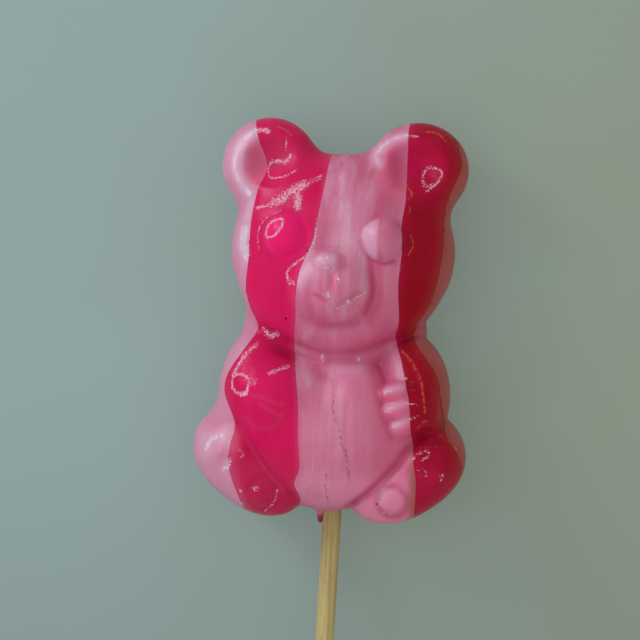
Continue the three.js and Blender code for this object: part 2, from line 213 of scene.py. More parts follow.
def muzzle_valley(x, y):
    """The shallow valley round the muzzle, which runs out on its left."""
    valley = MUZZLE_VALLEY
    (cx, cy), (rx, ry) = valley["at"], valley["radii"]
    from_muzzle = (np.hypot((x - cx) / rx, (y - cy) / ry) - 1) * ry
    shown = ramp(x - (y - cy) * valley["slant"], *valley["rise"])
    return valley["depth"] * bell(from_muzzle, valley["width"]) * shown


def relief(p):
    """Grooves count as positive, raised toes as negative."""
    x, y, z = p
    shown = np.clip((z - RELIEF_STARTS) / RELIEF_FADE, 0, 1)
    change = groove(x, y, **CHIN_CREASE)
    for line in FACE_GROOVES:
        change = np.maximum(change, groove(x, y, **line))
    change += muzzle_valley(x, y)
    side = np.abs(x)
    shallow = np.where(x < 0, LEFT_SHARE, 1)
    for pad_x, pad_y in PAW_PADS:
        from_rim = np.hypot(x - pad_x, y - pad_y) - PAD["radius"]
        change += shallow * PAD["depth"] * bell(from_rim, PAD["width"])
    change += shallow * groove(side, y, LEG_CREASE, **LEG_GROOVE)
    for line in FINGER_LINES:
        change += groove(x, y, line, **FINGER_GROOVE)
    for toe_x, toe_y in TOE_PLACES:
        change -= TOE["rise"] * bell(np.hypot(x - toe_x, y - toe_y), TOE["radius"])
    return change * shown


def bear_form(x, y, z):
    turned = TWIST["share"] * ramp(y, *TWIST["rise"])
    p = (x - turned * (z - TWIST["about"]), y, z)
    figure = blend(head_form(p), body_form(p), fillet(p[0]))
    form = blend(figure, lobe(p, **SPINE), SOFT["back"])
    form = blend(form, lobe((x, y, z), **DRIP), SOFT["drip"])
    near = (np.abs(form) < RELIEF_REACH) & (z > RELIEF_STARTS)
    form[near] += relief([part[near] for part in p])
    return form


def slope_of(points, nudge=0.08):
    """The gradient of the form at an array of points."""
    columns = []
    for axis in range(3):
        step = np.zeros(3)
        step[axis] = nudge
        change = bear_form(*(points + step).T) - bear_form(*(points - step).T)
        columns.append(change / (2 * nudge))
    return np.stack(columns, axis=1)


# ---------------------------------------------------------------- from form to mesh

STEP = 0.36  # spacing of the samples, and so the size of the facets
FILL_DEPTH = 0.3  # how deep, in steps, a sample that was filled counts as inside
LEAST_SLOPE = 0.2  # squared; keeps a point in a crease from being thrown far
SETTLE_ROUNDS = 4
BEAR_BOX = ((-32.0, -41.0, -15.0), (32.0, 50.0, 21.0))
CORNERS = np.array([[i >> 2 & 1, i >> 1 & 1, i & 1] for i in range(8)])
AROUND = ((0, 0), (1, 0), (1, 1), (0, 1))
CELL_EDGES = [(a, a + step) for step in (1, 2, 4) for a in range(8) if not a & step]


def sample_box():
    """The form's value at every sample of the box, layer by layer."""
    low = np.array(BEAR_BOX[0])
    count = np.ceil((np.array(BEAR_BOX[1]) - low) / STEP).astype(int) + 1
    axes = [low[a] + STEP * np.arange(count[a]) for a in range(3)]
    values = np.empty(count)
    for k, z in enumerate(axes[2]):
        x, y = np.meshgrid(axes[0], axes[1], indexing="ij")
        values[:, :, k] = bear_form(x, y, np.full(x.shape, z))
    return low, values


def close_narrow_gaps(values):
    """Fills cracks narrower than a cell, where four faces would share an edge."""
    filled = 1
    while filled:
        filled = 0
        for u, v in ((0, 1), (1, 2), (2, 0)):
            parts = []
            for du, dv in AROUND:
                cut = [slice(None)] * 3
                cut[u] = slice(du, values.shape[u] - 1 + du)
                cut[v] = slice(dv, values.shape[v] - 1 + dv)
                parts.append(values[tuple(cut)])
            inside = [part < 0 for part in parts]
            crossed = (inside[0] == inside[2]) & (inside[1] == inside[3]) & (inside[0] != inside[1])
            for at in np.argwhere(crossed):
                outer = (1, 3) if inside[0][tuple(at)] else (0, 2)
                nearest = min(outer, key=lambda n: parts[n][tuple(at)])
                parts[nearest][tuple(at)] = -FILL_DEPTH * STEP
                filled += 1


def net_points(low, values, active):
    """One point in each active cell: the middle of where its edges cross the surface."""
    total = np.zeros((len(active), 3))
    found = np.zeros(len(active))
    for a, b in CELL_EDGES:
        va = values[tuple((active + CORNERS[a]).T)]
        vb = values[tuple((active + CORNERS[b]).T)]
        crossing = (va < 0) != (vb < 0)
        t = np.where(crossing, va / np.where(crossing, va - vb, 1), 0)[:, None]
        place = active + CORNERS[a] + t * (CORNERS[b] - CORNERS[a])
        total += np.where(crossing[:, None], place, 0)
        found += crossing
    return low + STEP * total / found[:, None]


def net_quads(inside, number):
    """A quad round every edge between samples that crosses the surface, facing outwards."""
    quads = []
    for axis in range(3):
        head = [slice(None)] * 3
        tail = [slice(None)] * 3
        head[axis] = slice(0, -1)
        tail[axis] = slice(1, None)
        starts = inside[tuple(head)]
        changes = np.argwhere(starts != inside[tuple(tail)])
        leaves = starts[tuple(changes.T)]
        u, v = (axis + 1) % 3, (axis + 2) % 3
        ring = []
        for du, dv in AROUND:
            cell = changes.copy()
            cell[:, u] -= du
            cell[:, v] -= dv
            ring.append(number[tuple(cell.T)])
        ring = np.stack(ring, axis=1)
        ring[~leaves] = ring[~leaves][:, ::-1]
        quads.append(ring)
    return np.concatenate(quads)


def surface_net():
    """The bear as vertices in millimetres and quads that face outwards."""
    low, values = sample_box()
    close_narrow_gaps(values)
    inside = values < 0
    cells = [n - 1 for n in values.shape]
    parts = [inside[i : i + cells[0], j : j + cells[1], k : k + cells[2]] for i, j, k in CORNERS]
    total = sum(part.astype(np.int8) for part in parts)
    active = np.argwhere((total > 0) & (total < len(CORNERS)))
    number = np.full(cells, -1, np.int64)
    number[tuple(active.T)] = np.arange(len(active))
    return net_points(low, values, active), net_quads(inside, number)


def outward(points):
    """The unit normals of the form at an array of points."""
    slope = slope_of(points)
    return slope / np.linalg.norm(slope, axis=1, keepdims=True)


def settle(points, rounds=SETTLE_ROUNDS, largest=0.12):
    """Moves the points onto the surface of the form, and gives its outward normals there."""
    for _ in range(rounds):
        slope = slope_of(points)
        square = np.maximum((slope**2).sum(axis=1), LEAST_SLOPE)
        shift = -slope * (bear_form(*points.T) / square)[:, None]
        length = np.linalg.norm(shift, axis=1, keepdims=True)
        points = points + shift * np.minimum(1, largest / np.maximum(length, TINY))
    return points, outward(points)


# ---------------------------------------------------------------- cutting into ribbons

# Where the ribbons meet, as lines in plan from the ears down to the feet.
RIBBON_LINES = (
    ((-21.4, 52), (-20.3, 46.1), (-18.6, 41.0), (-17.0, 36.0), (-18.4, 31.0), (-19.2, 25.0),
     (-19.2, 17.0), (-19.6, 10.6), (-18.6, 6.0), (-16.6, 1.6), (-19.3, -3.5), (-22.3, -8.6),
     (-22.7, -12.8), (-20.0, -19.0), (-20.6, -24.0), (-20.4, -29.1), (-18.0, -35.9), (-15.5, -44)),
    ((-3.2, 52), (-3.4, 36.0), (-4.2, 26.6), (-4.9, 21.2), (-7.2, 14.0), (-8.0, 4.0), (-8.4, -2.8),
     (-6.9, -9.3), (-6.0, -14.6), (-5.5, -22.0), (-5.1, -27.6), (-6.2, -31.1), (-5.2, -34.2),
     (-6.3, -38), (-6.6, -44)),
    ((12.6, 52), (13.2, 43.0), (13.2, 38.6), (13.8, 31.0), (13.5, 25.6), (14.0, 21.2), (13.6, 12.6),
     (14.0, 5.0), (13.2, 1.0), (14.8, -3.2), (17.4, -11.7), (18.2, -18.5), (19.1, -25.0),
     (19.8, -31.0), (18.6, -44)),
    ((22.0, 52), (23.4, 44.2), (24.8, 38.5), (22.3, 31.2), (21.9, 26.4), (22.2, 20.0), (20.5, 9.8),
     (17.5, 4.0), (17.3, 0.9), (22.4, -6.0), (24.0, -12.6), (24.9, -17.9), (28.1, -22.7),
     (29.4, -26.2), (34, -31)),
)
SNAP = 0.1  # vertices this near to a line move onto it, so that no sliver is cut off
WALL_MESH = 1.3  # spacing inside the walls between ribbons
WALL_MARGIN = 0.6  # of that spacing is kept free along a wall's rim
LEAN_REACH = 0.2  # the lean of a wall is taken between points this far to either side
WALL_PLAY = 0.02  # a wall's triangle whose middle is this far outside the bear still counts


def smooth_run(points, samples=24):
    """A smooth line through the points, as a run of closer points."""
    p = np.array([points[0], *points, points[-1]], float)
    t = np.linspace(0, 1, samples, endpoint=False)[:, None]
    run = []
    for a, b, c, d in zip(p, p[1:], p[2:], p[3:]):
        start, end = (c - a) / 2, (d - b) / 2
        cubic = 2 * b - 2 * c + start + end
        square = 3 * c - 3 * b - 2 * start - end
        run.append(cubic * t**3 + square * t**2 + start * t + b)
    return np.concatenate([*run, p[-1:]])


def rising(run):
    """The same line as rising y and the x that goes with it."""
    order = np.argsort(run[:, 1], kind="stable")
    return run[order, 1], run[order, 0]


SMOOTH_LINES = [rising(smooth_run(points)) for points in RIBBON_LINES]


def line_x(line, y):
    """Where the line is across the bear, at height y in plan."""
    return np.interp(y, *SMOOTH_LINES[line])


def split(points, triangles, on_line, line):
    """Cuts the triangles that cross a line, so that every triangle is on one side of it."""
    off = points[:, 0] - line_x(line, points[:, 1])
    near = np.abs(off) < SNAP
    points[near, 0] -= off[near]
    off[near] = 0
    on_line[near] = line
    side = np.sign(off).astype(int)
    sides = side[triangles]
    crossing = (sides.min(axis=1) < 0) & (sides.max(axis=1) > 0)
    added, middles, cut = {}, [], []

    def middle(a, b):
        key = (min(a, b), max(a, b))
        if key not in added:
            added[key] = len(points) + len(middles)
            t = off[key[0]] / (off[key[0]] - off[key[1]])
            middles.append(points[key[0]] + t * (points[key[1]] - points[key[0]]))
        return added[key]

    for corners in triangles[crossing].tolist():
        signs = [side[c] for c in corners]
        if 0 in signs:
            first = signs.index(0)
            a, b, c = corners[first:] + corners[:first]
            m = middle(b, c)
            cut += [(a, b, m), (a, m, c)]
        else:
            first = next(i for i in range(3) if signs.count(signs[i]) == 1)
            a, b, c = corners[first:] + corners[:first]
            m, n = middle(a, b), middle(a, c)
            cut += [(a, m, n), (m, b, c), (m, c, n)]
    points = np.concatenate([points, middles])
    on_line = np.concatenate([on_line, np.full(len(middles), line)])
    return points, np.concatenate([triangles[~crossing], cut]), on_line


def settle_cut(points, on_line):
    """Moves the points onto the surface while those on a line stay on it."""
    for _ in range(SETTLE_ROUNDS):
        points, _ = settle(points, rounds=1)
        for line in range(len(RIBBON_LINES)):
            held = on_line == line
            points[held, 0] = line_x(line, points[held, 1])
    normals = outward(points)
    below = points[:, 2] < -BACK_DEPTH
    points[below, 2] = -BACK_DEPTH
    normals[below] = (0, 0, -1)
    return points, normals


def wall(line, points, rim):
    """The face between two ribbons: its triangles, and the points added for it."""
    held = np.unique(rim)
    place = {int(v): i for i, v in enumerate(held)}
    y, z = np.meshgrid(
        np.arange(BEAR_BOX[0][1], BEAR_BOX[1][1], WALL_MESH),
        np.arange(-BACK_DEPTH + WALL_MESH, BEAR_BOX[1][2], WALL_MESH),
    )
    y, z = y.ravel(), z.ravel()
    deep = bear_form(line_x(line, y), y, z) < -WALL_MARGIN * WALL_MESH
    inner = np.stack([line_x(line, y[deep]), y[deep], z[deep]], axis=1)
    flat = np.concatenate([points[held, 1:], inner[:, 1:]])
    edges = [(place[a], place[b]) for a, b in rim.tolist()]
    corners, _, faces, sources, _, _ = delaunay_2d_cdt([Vector(v) for v in flat], edges, [], 1, 1e-6)
    # A corner that was added where two rim edges touch counts as the point nearest to it.
    same = [
        source[0] if source else int(np.argmin(np.hypot(*(flat - corner).T)))
        for corner, source in zip(corners, sources)
    ]
    whole = [face for face in faces if len({same[c] for c in face}) == 3]
    numbers = np.concatenate([held, len(points) + np.arange(len(inner))])
    triangles = numbers[[[same[c] for c in face] for face in whole]]
    everything = np.concatenate([points, inner])
    centre = everything[triangles].mean(axis=1)
    triangles = triangles[bear_form(*centre.T) < WALL_PLAY]
    a, b, c = (everything[triangles[:, i]] for i in range(3))
    leftward = np.cross(b - a, c - a)[:, 0] < 0
    triangles[leftward] = triangles[leftward][:, ::-1]
    return triangles, inner


# ---------------------------------------------------------------- marks on the surface

# Strokes are seen in plan: each is a line, its half width and its strength.
# Grains of sugar stand on the surface, painted whitish as highlights where the window light falls on
# them, with a small bump.
FROST_HIGHLIGHTS = (
    (((-18.3, 27.2), (-15.2, 28.0), (-13.4, 28.8)), 0.35, 0.6),
    (((-14.6, 28.4), (-12.8, 29.3)), 1.1, 0.62),
    (((-12.4, 29.6), (-10.6, 31.2), (-8.2, 32.6)), 1.2, 0.64),
    (((-9.2, 30.6), (-8.8, 27.9)), 1.0, 0.64),
    (((-7.4, 33.0), (-4.6, 34.6)), 0.7, 0.42),
    (((-20.2, 43.9), (-18.7, 44.2), (-17.1, 43.9)), 0.6, 0.75),
    (((-16.4, 37.2), (-14.9, 37.7), (-13.1, 37.4), (-12.1, 39.0)), 0.55, 0.6),
    (((-16.8, 36.5), (-16.0, 34.0), (-12.8, 34.4), (-10.0, 35.9)), 0.22, 0.62),
    (((-13.1, 42.8), (-13.0, 39.8)), 0.22, 0.55),
    (((-15.2, 21.4), (-14.9, 23.4), (-13.2, 24.8), (-11.6, 24.9), (-11.8, 23.1), (-13.3, 21.3),
      (-14.9, 21.0)), 0.3, 0.75),
    (((-12.4, 26.9), (-16.0, 24.9), (-17.3, 21.8), (-16.9, 18.4)), 0.22, 0.42),
    (((-4.6, 25.4), (-4.5, 21.6), (-5.6, 18.6), (-7.4, 16.4)), 0.22, 0.58),
    (((-8.0, 16.0), (-9.6, 14.8), (-10.1, 13.1), (-9.4, 11.4)), 0.26, 0.7),
    (((-9.4, 12.4), (-8.3, 11.4)), 0.6, 0.42),
    (((-15.1, 1.3), (-13.9, 0.1), (-12.4, 0.5)), 0.65, 0.62),
    (((-16.3, -2.0), (-18.3, -3.9), (-19.6, -6.1), (-20.8, -8.8)), 0.55, 0.62),
    (((-20.8, -8.8), (-18.9, -8.5), (-17.2, -9.4), (-17.2, -11.8), (-19.0, -12.6), (-20.8, -11.4),
      (-20.8, -8.8)), 0.33, 0.72),
    (((-18.4, -12.9), (-17.4, -12.4)), 0.45, 0.8),
    (((-15.3, -8.8), (-15.6, -10.2)), 0.22, 0.5),
    (((-12.7, -8.0), (-10.9, -7.0), (-9.1, -6.2)), 0.45, 0.62),
    (((17.8, 32.8), (19.3, 34.2), (20.5, 35.8), (20.8, 37.3), (19.1, 38.1)), 0.24, 0.75),
    (((19.1, 38.1), (17.4, 37.8), (16.7, 36.0), (17.4, 34.1), (19.1, 34.4)), 0.45, 0.5),
    (((-26.2, -25.1), (-25.4, -23.3), (-23.8, -22.2), (-22.5, -21.9)), 0.55, 0.7),
    (((-20.2, -26.7), (-20.6, -28.3), (-21.8, -29.0)), 0.42, 0.7),
    (((-18.3, -24.6), (-17.4, -25.6), (-18.4, -26.6)), 0.26, 0.42),
    (((-9.9, -32.4), (-10.1, -34.3), (-11.3, -36.3), (-12.7, -37.5)), 0.22, 0.5),
    (((-15.1, -32.7), (-14.0, -32.2), (-14.2, -33.1), (-15.1, -32.7)), 0.3, 0.55),
    (((18.8, -24.2), (20.2, -22.8), (21.8, -22.3), (22.0, -23.4), (20.9, -24.2)), 0.35, 0.5),
    (((19.3, -26.8), (21.3, -26.2), (22.0, -27.6)), 0.25, 0.36),
    (((24.6, -27.4), (25.4, -27.2), (25.0, -28.4)), 0.35, 0.5),
    (((-2.1, 16.5), (-1.1, 17.5), (0.0, 16.7), (-0.1, 15.4), (-1.4, 15.1), (-2.1, 16.5)), 0.26, 0.5),
    (((1.3, 13.4), (1.6, 12.2)), 0.35, 0.6),
    (((-0.8, 9.9), (-0.4, 9.3)), 0.4, 0.5),
    (((1.2, 6.7), (2.9, 7.5), (5.3, 9.3), (7.2, 10.6)), 0.2, 0.5),
    (((3.4, 8.6), (4.1, 8.3)), 0.4, 0.6),
    (((-2.4, -3.6), (-2.1, -4.4)), 0.55, 0.5),
    (((5.4, -3.1), (5.7, -3.9)), 0.5, 0.5),
    (((12.6, 44.5), (13.9, 44.5), (15.1, 44.5)), 0.3, 0.6),
    (((7.2, 41.7), (9.4, 43.5), (12.2, 44.6)), 0.5, 0.34),
    (((12.2, -10.4), (13.4, -10.1)), 0.45, 0.5),
    (((12.8, -14.5), (13.6, -14.2)), 0.45, 0.5),
    (((14.2, -17.8), (15.0, -17.6)), 0.45, 0.4),
    (((14.2, -7.3), (16.4, -7.2)), 0.3, 0.5),
    (((17.1, -12.4), (19.3, -12.5)), 0.2, 0.5),
    (((17.9, -15.7), (19.5, -15.0)), 0.3, 0.5),
    (((13.4, 16.3), (13.3, 13.4)), 0.2, 0.4),
    (((-20.4, 22.0), (-20.7, 19.4), (-19.4, 17.4)), 0.9, 0.42),
    (((-17.9, -33.3), (-17.7, -33.6)), 0.3, 0.7),
    (((-18.0, -36.0), (-17.8, -36.3)), 0.3, 0.7),
    (((12.8, -36.0), (15.0, -36.4)), 0.4, 0.36),
)
# Painted sheen: lavender highlights painted where the pale sugar faces the light, on the ear rims, the
# side of the head, the arm and fingers, the muzzle, the belly and the legs.
PAINTED_SHEEN = (
    (((-19.8, 43.9), (-22.5, 41.8), (-24.0, 38.5), (-23.7, 34.8), (-22.1, 32.1), (-20.3, 30.3)),
     1.3, 0.75),
    (((-19.6, 29.2), (-19.9, 27.9), (-20.4, 25.0)), 1.1, 0.55),
    (((-20.5, 22.6), (-20.8, 19.2), (-19.4, 16.4)), 1.4, 0.85),
    (((7.2, 38.2), (6.4, 39.9), (7.4, 41.9)), 1.3, 0.7),
    (((7.4, 41.9), (9.8, 43.8), (12.6, 44.6)), 0.9, 0.7),
    (((12.7, -9.8), (15.9, -9.0)), 0.9, 0.45),
    (((13.1, -13.6), (16.3, -12.4)), 0.9, 0.45),
    (((14.5, -17.1), (17.0, -16.0)), 0.9, 0.45),
    (((12.8, -1.5), (14.2, -4.7), (15.6, -7.0)), 1.2, 0.35),
    (((-4.8, 16.6), (-1.2, 17.0)), 1.5, 0.55),
    (((-5.6, 15.8), (-7.2, 12.0)), 1.9, 0.6),
    (((0.4, -7.0), (3.6, -6.2), (6.3, -6.0)), 1.5, 0.4),
    (((-6.4, -6.4), (-5.0, -8.4)), 1.8, 0.3),
    (((-26.0, -24.9), (-25.4, -23.3), (-23.8, -22.2), (-22.4, -22.3)), 1.3, 0.6),
    (((-27.2, -22.5), (-26.8, -26.0)), 1.6, 0.35),
    (((-21.8, -28.8), (-20.9, -27.4), (-20.2, -26.5)), 1.0, 0.5),
    (((12.4, -34.0), (13.2, -31.6)), 0.9, 0.4),
)
# Painted glow: the thin bottoms of the grooves between the fingers and round the nose are painted a
# light pink where they would be in shade.
GLOW = (
    (((12.2, -12.2), (15.6, -11.0)), 0.6, 0.9),
    (((12.9, -15.9), (16.2, -14.7)), 0.6, 0.9),
    (((0.2, 13.6), (0.3, 10.7)), 0.6, 1.0),
    (((2.3, 17.6), (2.5, 14.8)), 0.9, 0.6),
    (((-3.8, 9.5), (-2.2, 8.8), (-0.8, 8.0)), 0.5, 0.4),
)
# A painted reflection of the window's edge over the left half of the right eye.
EYE_REFLECTION = dict(at=(9.6, 21.9), radius=4.7, up_to=9.2, share=0.5)
# Painted shade in deep pink, in the valleys, creases and hollows of the pale sugar: round the muzzle,
# under the chin and the right eye, beside the fingers and the legs, and in the ear dishes.
PINK_SHADE = (
    (((7.3, 17.8), (8.3, 12.8), (8.2, 9.4), (7.0, 6.0)), 0.9, 1.0),
    (((9.0, 16.6), (9.9, 12.0), (9.4, 8.0), (7.8, 4.8)), 1.6, 0.6),
    (((7.0, 6.0), (5.4, 4.2), (2.6, 3.4), (-2.2, 3.0)), 0.9, 0.5),
    (((-23.6, -19.6), (-22.4, -23.4), (-20.8, -27.0)), 2.0, 0.42),
    (LEFT_LIP, 0.45, 0.5),
    (((2.4, 8.4), (5.6, 10.4)), 0.6, 0.35),
    (((5.6, 21.4), (6.3, 19.2), (7.8, 17.6), (10.0, 16.8), (12.4, 17.4)), 0.5, 1.0),
    (((5.8, 23.2), (6.4, 25.4), (8.2, 27.0)), 0.5, 0.4),
    (((-7.2, -1.4), (-3.9, -2.7), (-0.5, -3.1), (2.7, -2.8), (5.9, -2.1), (9.1, -1.0), (11.9, 1.2),
      (13.4, 2.6)), 0.9, 0.6),
    (((-0.5, -4.0), (3.2, -4.2)), 1.5, 0.6),
    (((-6.8, -3.4), (-4.4, -4.2)), 1.2, 0.45),
    (((-3.6, -6.2), (-2.4, -8.0), (-1.0, -7.6)), 1.0, 0.5),
    (((9.8, -5.0), (11.6, -7.6), (11.4, -10.6), (12.0, -13.8), (12.8, -17.0), (14.2, -19.8)), 0.9, 0.5),
    (((17.6, -21.5), (16.6, -22.7), (14.1, -26.4), (11.4, -29.6), (8.6, -32.4), (4.4, -35.6)), 0.7, 0.8),
    (((-19.4, 39.0), (-18.4, 35.4)), 2.2, 0.45),
    (((-18.4, 32.4), (-17.4, 31.6)), 0.9, 0.5),
    (((10.0, 40.4), (11.0, 36.8), (11.6, 34.2)), 2.2, 0.75),
    (((10.8, 31.4), (10.4, 27.8)), 1.6, 0.35),
    (((11.6, 3.6), (10.8, 0.6)), 1.6, 0.3),
)
# Painted orange glints: thin lines where ridges on the crimson catch the warm lamp, with a slight ridge
# in the bump.
ORANGE_GLINTS = (
    (((-15.4, 45.1), (-13.6, 44.5), (-12.0, 43.3)), 0.22, 0.9),
    (((16.9, 45.7), (19.2, 45.5), (21.3, 43.8)), 0.24, 0.9),
    (((12.7, 34.9), (14.9, 32.2), (14.4, 31.0)), 0.3, 0.9),
    (((14.8, 29.3), (15.0, 27.8)), 0.22, 0.7),
    (((15.4, 23.3), (16.2, 21.3), (15.3, 19.0)), 0.22, 0.75),
    (((14.2, 17.2), (13.8, 15.4)), 0.2, 0.6),
    (((14.8, -1.4), (16.8, -3.0), (18.3, -5.1), (19.6, -7.6), (20.3, -10.8), (20.9, -14.1)), 0.3, 0.85),
    (((16.2, -2.9), (17.9, -5.2), (19.1, -7.7)), 0.18, 0.6),
    (((17.3, -7.8), (19.4, -7.9)), 0.2, 0.6),
    (((17.3, -9.4), (18.6, -9.6)), 0.2, 0.6),
    (((19.6, -17.4), (20.4, -16.4), (21.3, -15.8)), 0.25, 0.8),
    (((19.9, -21.7), (22.7, -21.3), (25.0, -21.2)), 0.22, 0.6),
    (((23.2, -18.6), (25.8, -19.9), (27.6, -21.8), (28.6, -24.2)), 0.22, 0.7),
    (((21.8, 43.4), (22.2, 39.1), (21.6, 34.8)), 0.2, 0.4),
    (((23.2, -10.0), (23.5, -12.8), (23.3, -15.6)), 0.3, 0.5),
)
# On the left hand and leg only faint lighter lines show where the fingers and the crease are.
FAINT_LINES = (
    (FINGER_LINES[0], 0.45, 0.3),
    (FINGER_LINES[1], 0.45, 0.26),
    (((-17.8, -17.9), (-14.6, -19.6), (-11.2, -19.2), (-9.2, -16.4)), 0.5, 0.2),
    (((-19.6, -19.2), (-16.6, -22.7), (-14.1, -26.4), (-11.4, -29.6), (-8.6, -32.4)), 0.3, 0.34),
)
CRACKS = (
    (((0.0, -7.9), (1.3, -12.0), (1.4, -14.8), (3.1, -18.4), (3.9, -21.6), (4.9, -23.7),
      (5.4, -26.9), (5.7, -29.7)), 0.3, 1.0),
    (((0.9, -28.3), (0.6, -31.5), (1.1, -34.7)), 0.3, 1.0),
)
# Painted shade darkens the creases, which are found by feeling for the form a little above the surface.
CREASE_SHADE = dict(reach=1.0, starts=0.93, runs=0.5)
# Painted glow in the dishes of the ears too, less in the right one.
DISH_GLOW = dict(edge=1.06, blur=0.08, right_share=0.45, rise=(29.0, 4.0))
EYE_EDGE = dict(beyond=0.5, blur=0.9)
# Painted shade: the crimson is painted darker on the right, away from the light, a little more on the
# right cheek, and on the left leg below its crease, but less on the right ear and foot. It is also
# darker towards the bottom.
RIGHT_SHADE = dict(rise=(9.0, 7.0), share=0.92)
RIGHT_CHEEK = dict(at=(16.0, 10.0), radius=5.0, share=0.12)
EAR_LESS_SHADE = dict(at=(14.8, 38.5), radius=6.5, share=0.6)
FOOT_LESS_SHADE = dict(at=(20.5, -28.5), radius=7.0, share=0.3)
LEG_SHADE = dict(share=0.32, blur=1.5)
LOW_DARKENING = dict(share=0.15, rise=(-33.0, -5.0))
# It thins out towards the pale ribbons beside it and in the dish of the left ear.
THIN_LEFT = dict(width=1.8, share=0.8, rise=(-18.0, -4.0))
THIN_CENTRE = dict(width=0.7, share=0.45)
THIN_EAR = dict(at=(-15.0, 38.6), radius=4.6, share=0.42)
RIGHT_EDGE_SHADE_WIDTH = 1.3
PAD_SHADE = dict(share=0.6, width=0.75)
EYE_BLUR, REFLECTION_BLUR = 0.8, 0.5
FRONT = (-1.0, 4.0)  # the strokes are on the front alone, from this depth over this run
DRIP_COLOUR = dict(rise=(-37.6, -0.8), radius=1.4)


def strokes(x, y, drawn):
    """How strongly each point is painted by a set of strokes."""
    shown = np.zeros(len(x))
    for points, width, strength in drawn:
        line = smooth_run(points, 5) if len(points) > 2 else np.array(points, float)
        low, high = line.min(axis=0) - 3 * width, line.max(axis=0) + 3 * width
        near = (x > low[0]) & (x < high[0]) & (y > low[1]) & (y < high[1])
        stroke = strength * bell(line_distance(x[near], y[near], line), width)
        shown[near] = np.maximum(shown[near], stroke)
    return shown


def from_middle(x, y, middle):
    return np.hypot(x - middle[0], y - middle[1])


def spot(x, y, at, radius, share):
    return share * bell(from_middle(x, y, at), radius)


# Painted shade: how deep in a crease a point lies, from 0 to 1.
def crease_shade_mark(points, normals):
    reach = CREASE_SHADE["reach"]
    above = bear_form(*(points + reach * normals).T)
    return np.clip((CREASE_SHADE["starts"] * reach - above) / (CREASE_SHADE["runs"] * reach), 0, 1)


def dish_glow_mark(x, y, z):
    dish = np.zeros(len(x))
    for hollowed in EAR_DISHES:
        (cx, cy, cz), (rx, ry, rz) = hollowed["at"], hollowed["radii"]
        inner = np.hypot(np.hypot((x - cx) / rx, (y - cy) / ry), (z - cz) / rz)
        dish = np.maximum(dish, smooth_ramp((DISH_GLOW["edge"] - inner) / DISH_GLOW["blur"]))
    side = np.where(x > 0, DISH_GLOW["right_share"], 1)
    return dish * side * ramp(y, *DISH_GLOW["rise"])


# Painted sheen, and on the right eye a painted reflection of the window's edge.
def painted_sheen_mark(x, y):
    eye = smooth_ramp((EYE_REFLECTION["radius"] - from_middle(x, y, EYE_REFLECTION["at"])) / EYE_BLUR)
    eye *= EYE_REFLECTION["share"] * smooth_ramp((EYE_REFLECTION["up_to"] - x) / REFLECTION_BLUR)
    return np.maximum(strokes(x, y, PAINTED_SHEEN), eye)


# Painted deep pink shade, with a ring in the groove round the right paw pad.
def pink_shade_mark(x, y):
    pad_rim = from_middle(x, y, PAW_PADS[1]) - PAD["radius"]
    rim = PAD_SHADE["share"] * bell(pad_rim, PAD_SHADE["width"])
    return np.maximum(strokes(x, y, PINK_SHADE), rim)


def painted_shade_mark(x, y):
    """How much painted shade darkens the crimson."""
    leg_x, leg_y = np.array(LEG_CREASE)[::-1].T
    below_crease = np.interp(np.abs(x), leg_x, leg_y) - y
    leg = LEG_SHADE["share"] * smooth_ramp(below_crease / LEG_SHADE["blur"])
    shade_share = RIGHT_SHADE["share"] + spot(x, y, **RIGHT_CHEEK)
    right = ramp(x, *RIGHT_SHADE["rise"]) * shade_share
    left = np.where(x < 0, leg, 0) + LOW_DARKENING["share"] * ramp(y, *LOW_DARKENING["rise"])
    less_shade = spot(x, y, **EAR_LESS_SHADE) + spot(x, y, **FOOT_LESS_SHADE)
    return np.clip(np.maximum(right * (1 - less_shade), left), 0, 1)


def thin_mark(x, y):
    """Where the crimson is so thin that the pale sugar shows through."""
    from_left = x - line_x(0, y)
    from_centre = line_x(1, y) - x
    beside_left = THIN_LEFT["share"] * bell(from_left, THIN_LEFT["width"])
    beside_left *= ramp(y, *THIN_LEFT["rise"])
    beside_centre = THIN_CENTRE["share"] * bell(from_centre, THIN_CENTRE["width"])
    in_ear = spot(x, y, **THIN_EAR)
    thin = np.maximum.reduce([beside_left, beside_centre, in_ear]) * (from_centre > 0)
    return np.maximum(thin, strokes(x, y, FAINT_LINES))


def right_edge_shade_mark(x, y):
    """Painted shade along the seam of the crimson and the last pale ribbon, on the right edge."""
    return bell(line_x(3, y) - x, RIGHT_EDGE_SHADE_WIDTH)


# Painted glow: the left eye is painted lighter than the crimson round it.
def eye_glow_mark(x, y):
    (eye_x, eye_y, _), (radius, _, _) = EYES[0]["at"], EYES[0]["radii"]
    inside = radius + EYE_EDGE["beyond"] - from_middle(x, y, (eye_x, eye_y))
    return smooth_ramp(inside / EYE_EDGE["blur"])


def drip_mark(x, y, z):
    beside = from_middle(x, z, DRIP["at"][::2]) < DRIP_COLOUR["radius"]
    return ramp(y, *DRIP_COLOUR["rise"]) * beside


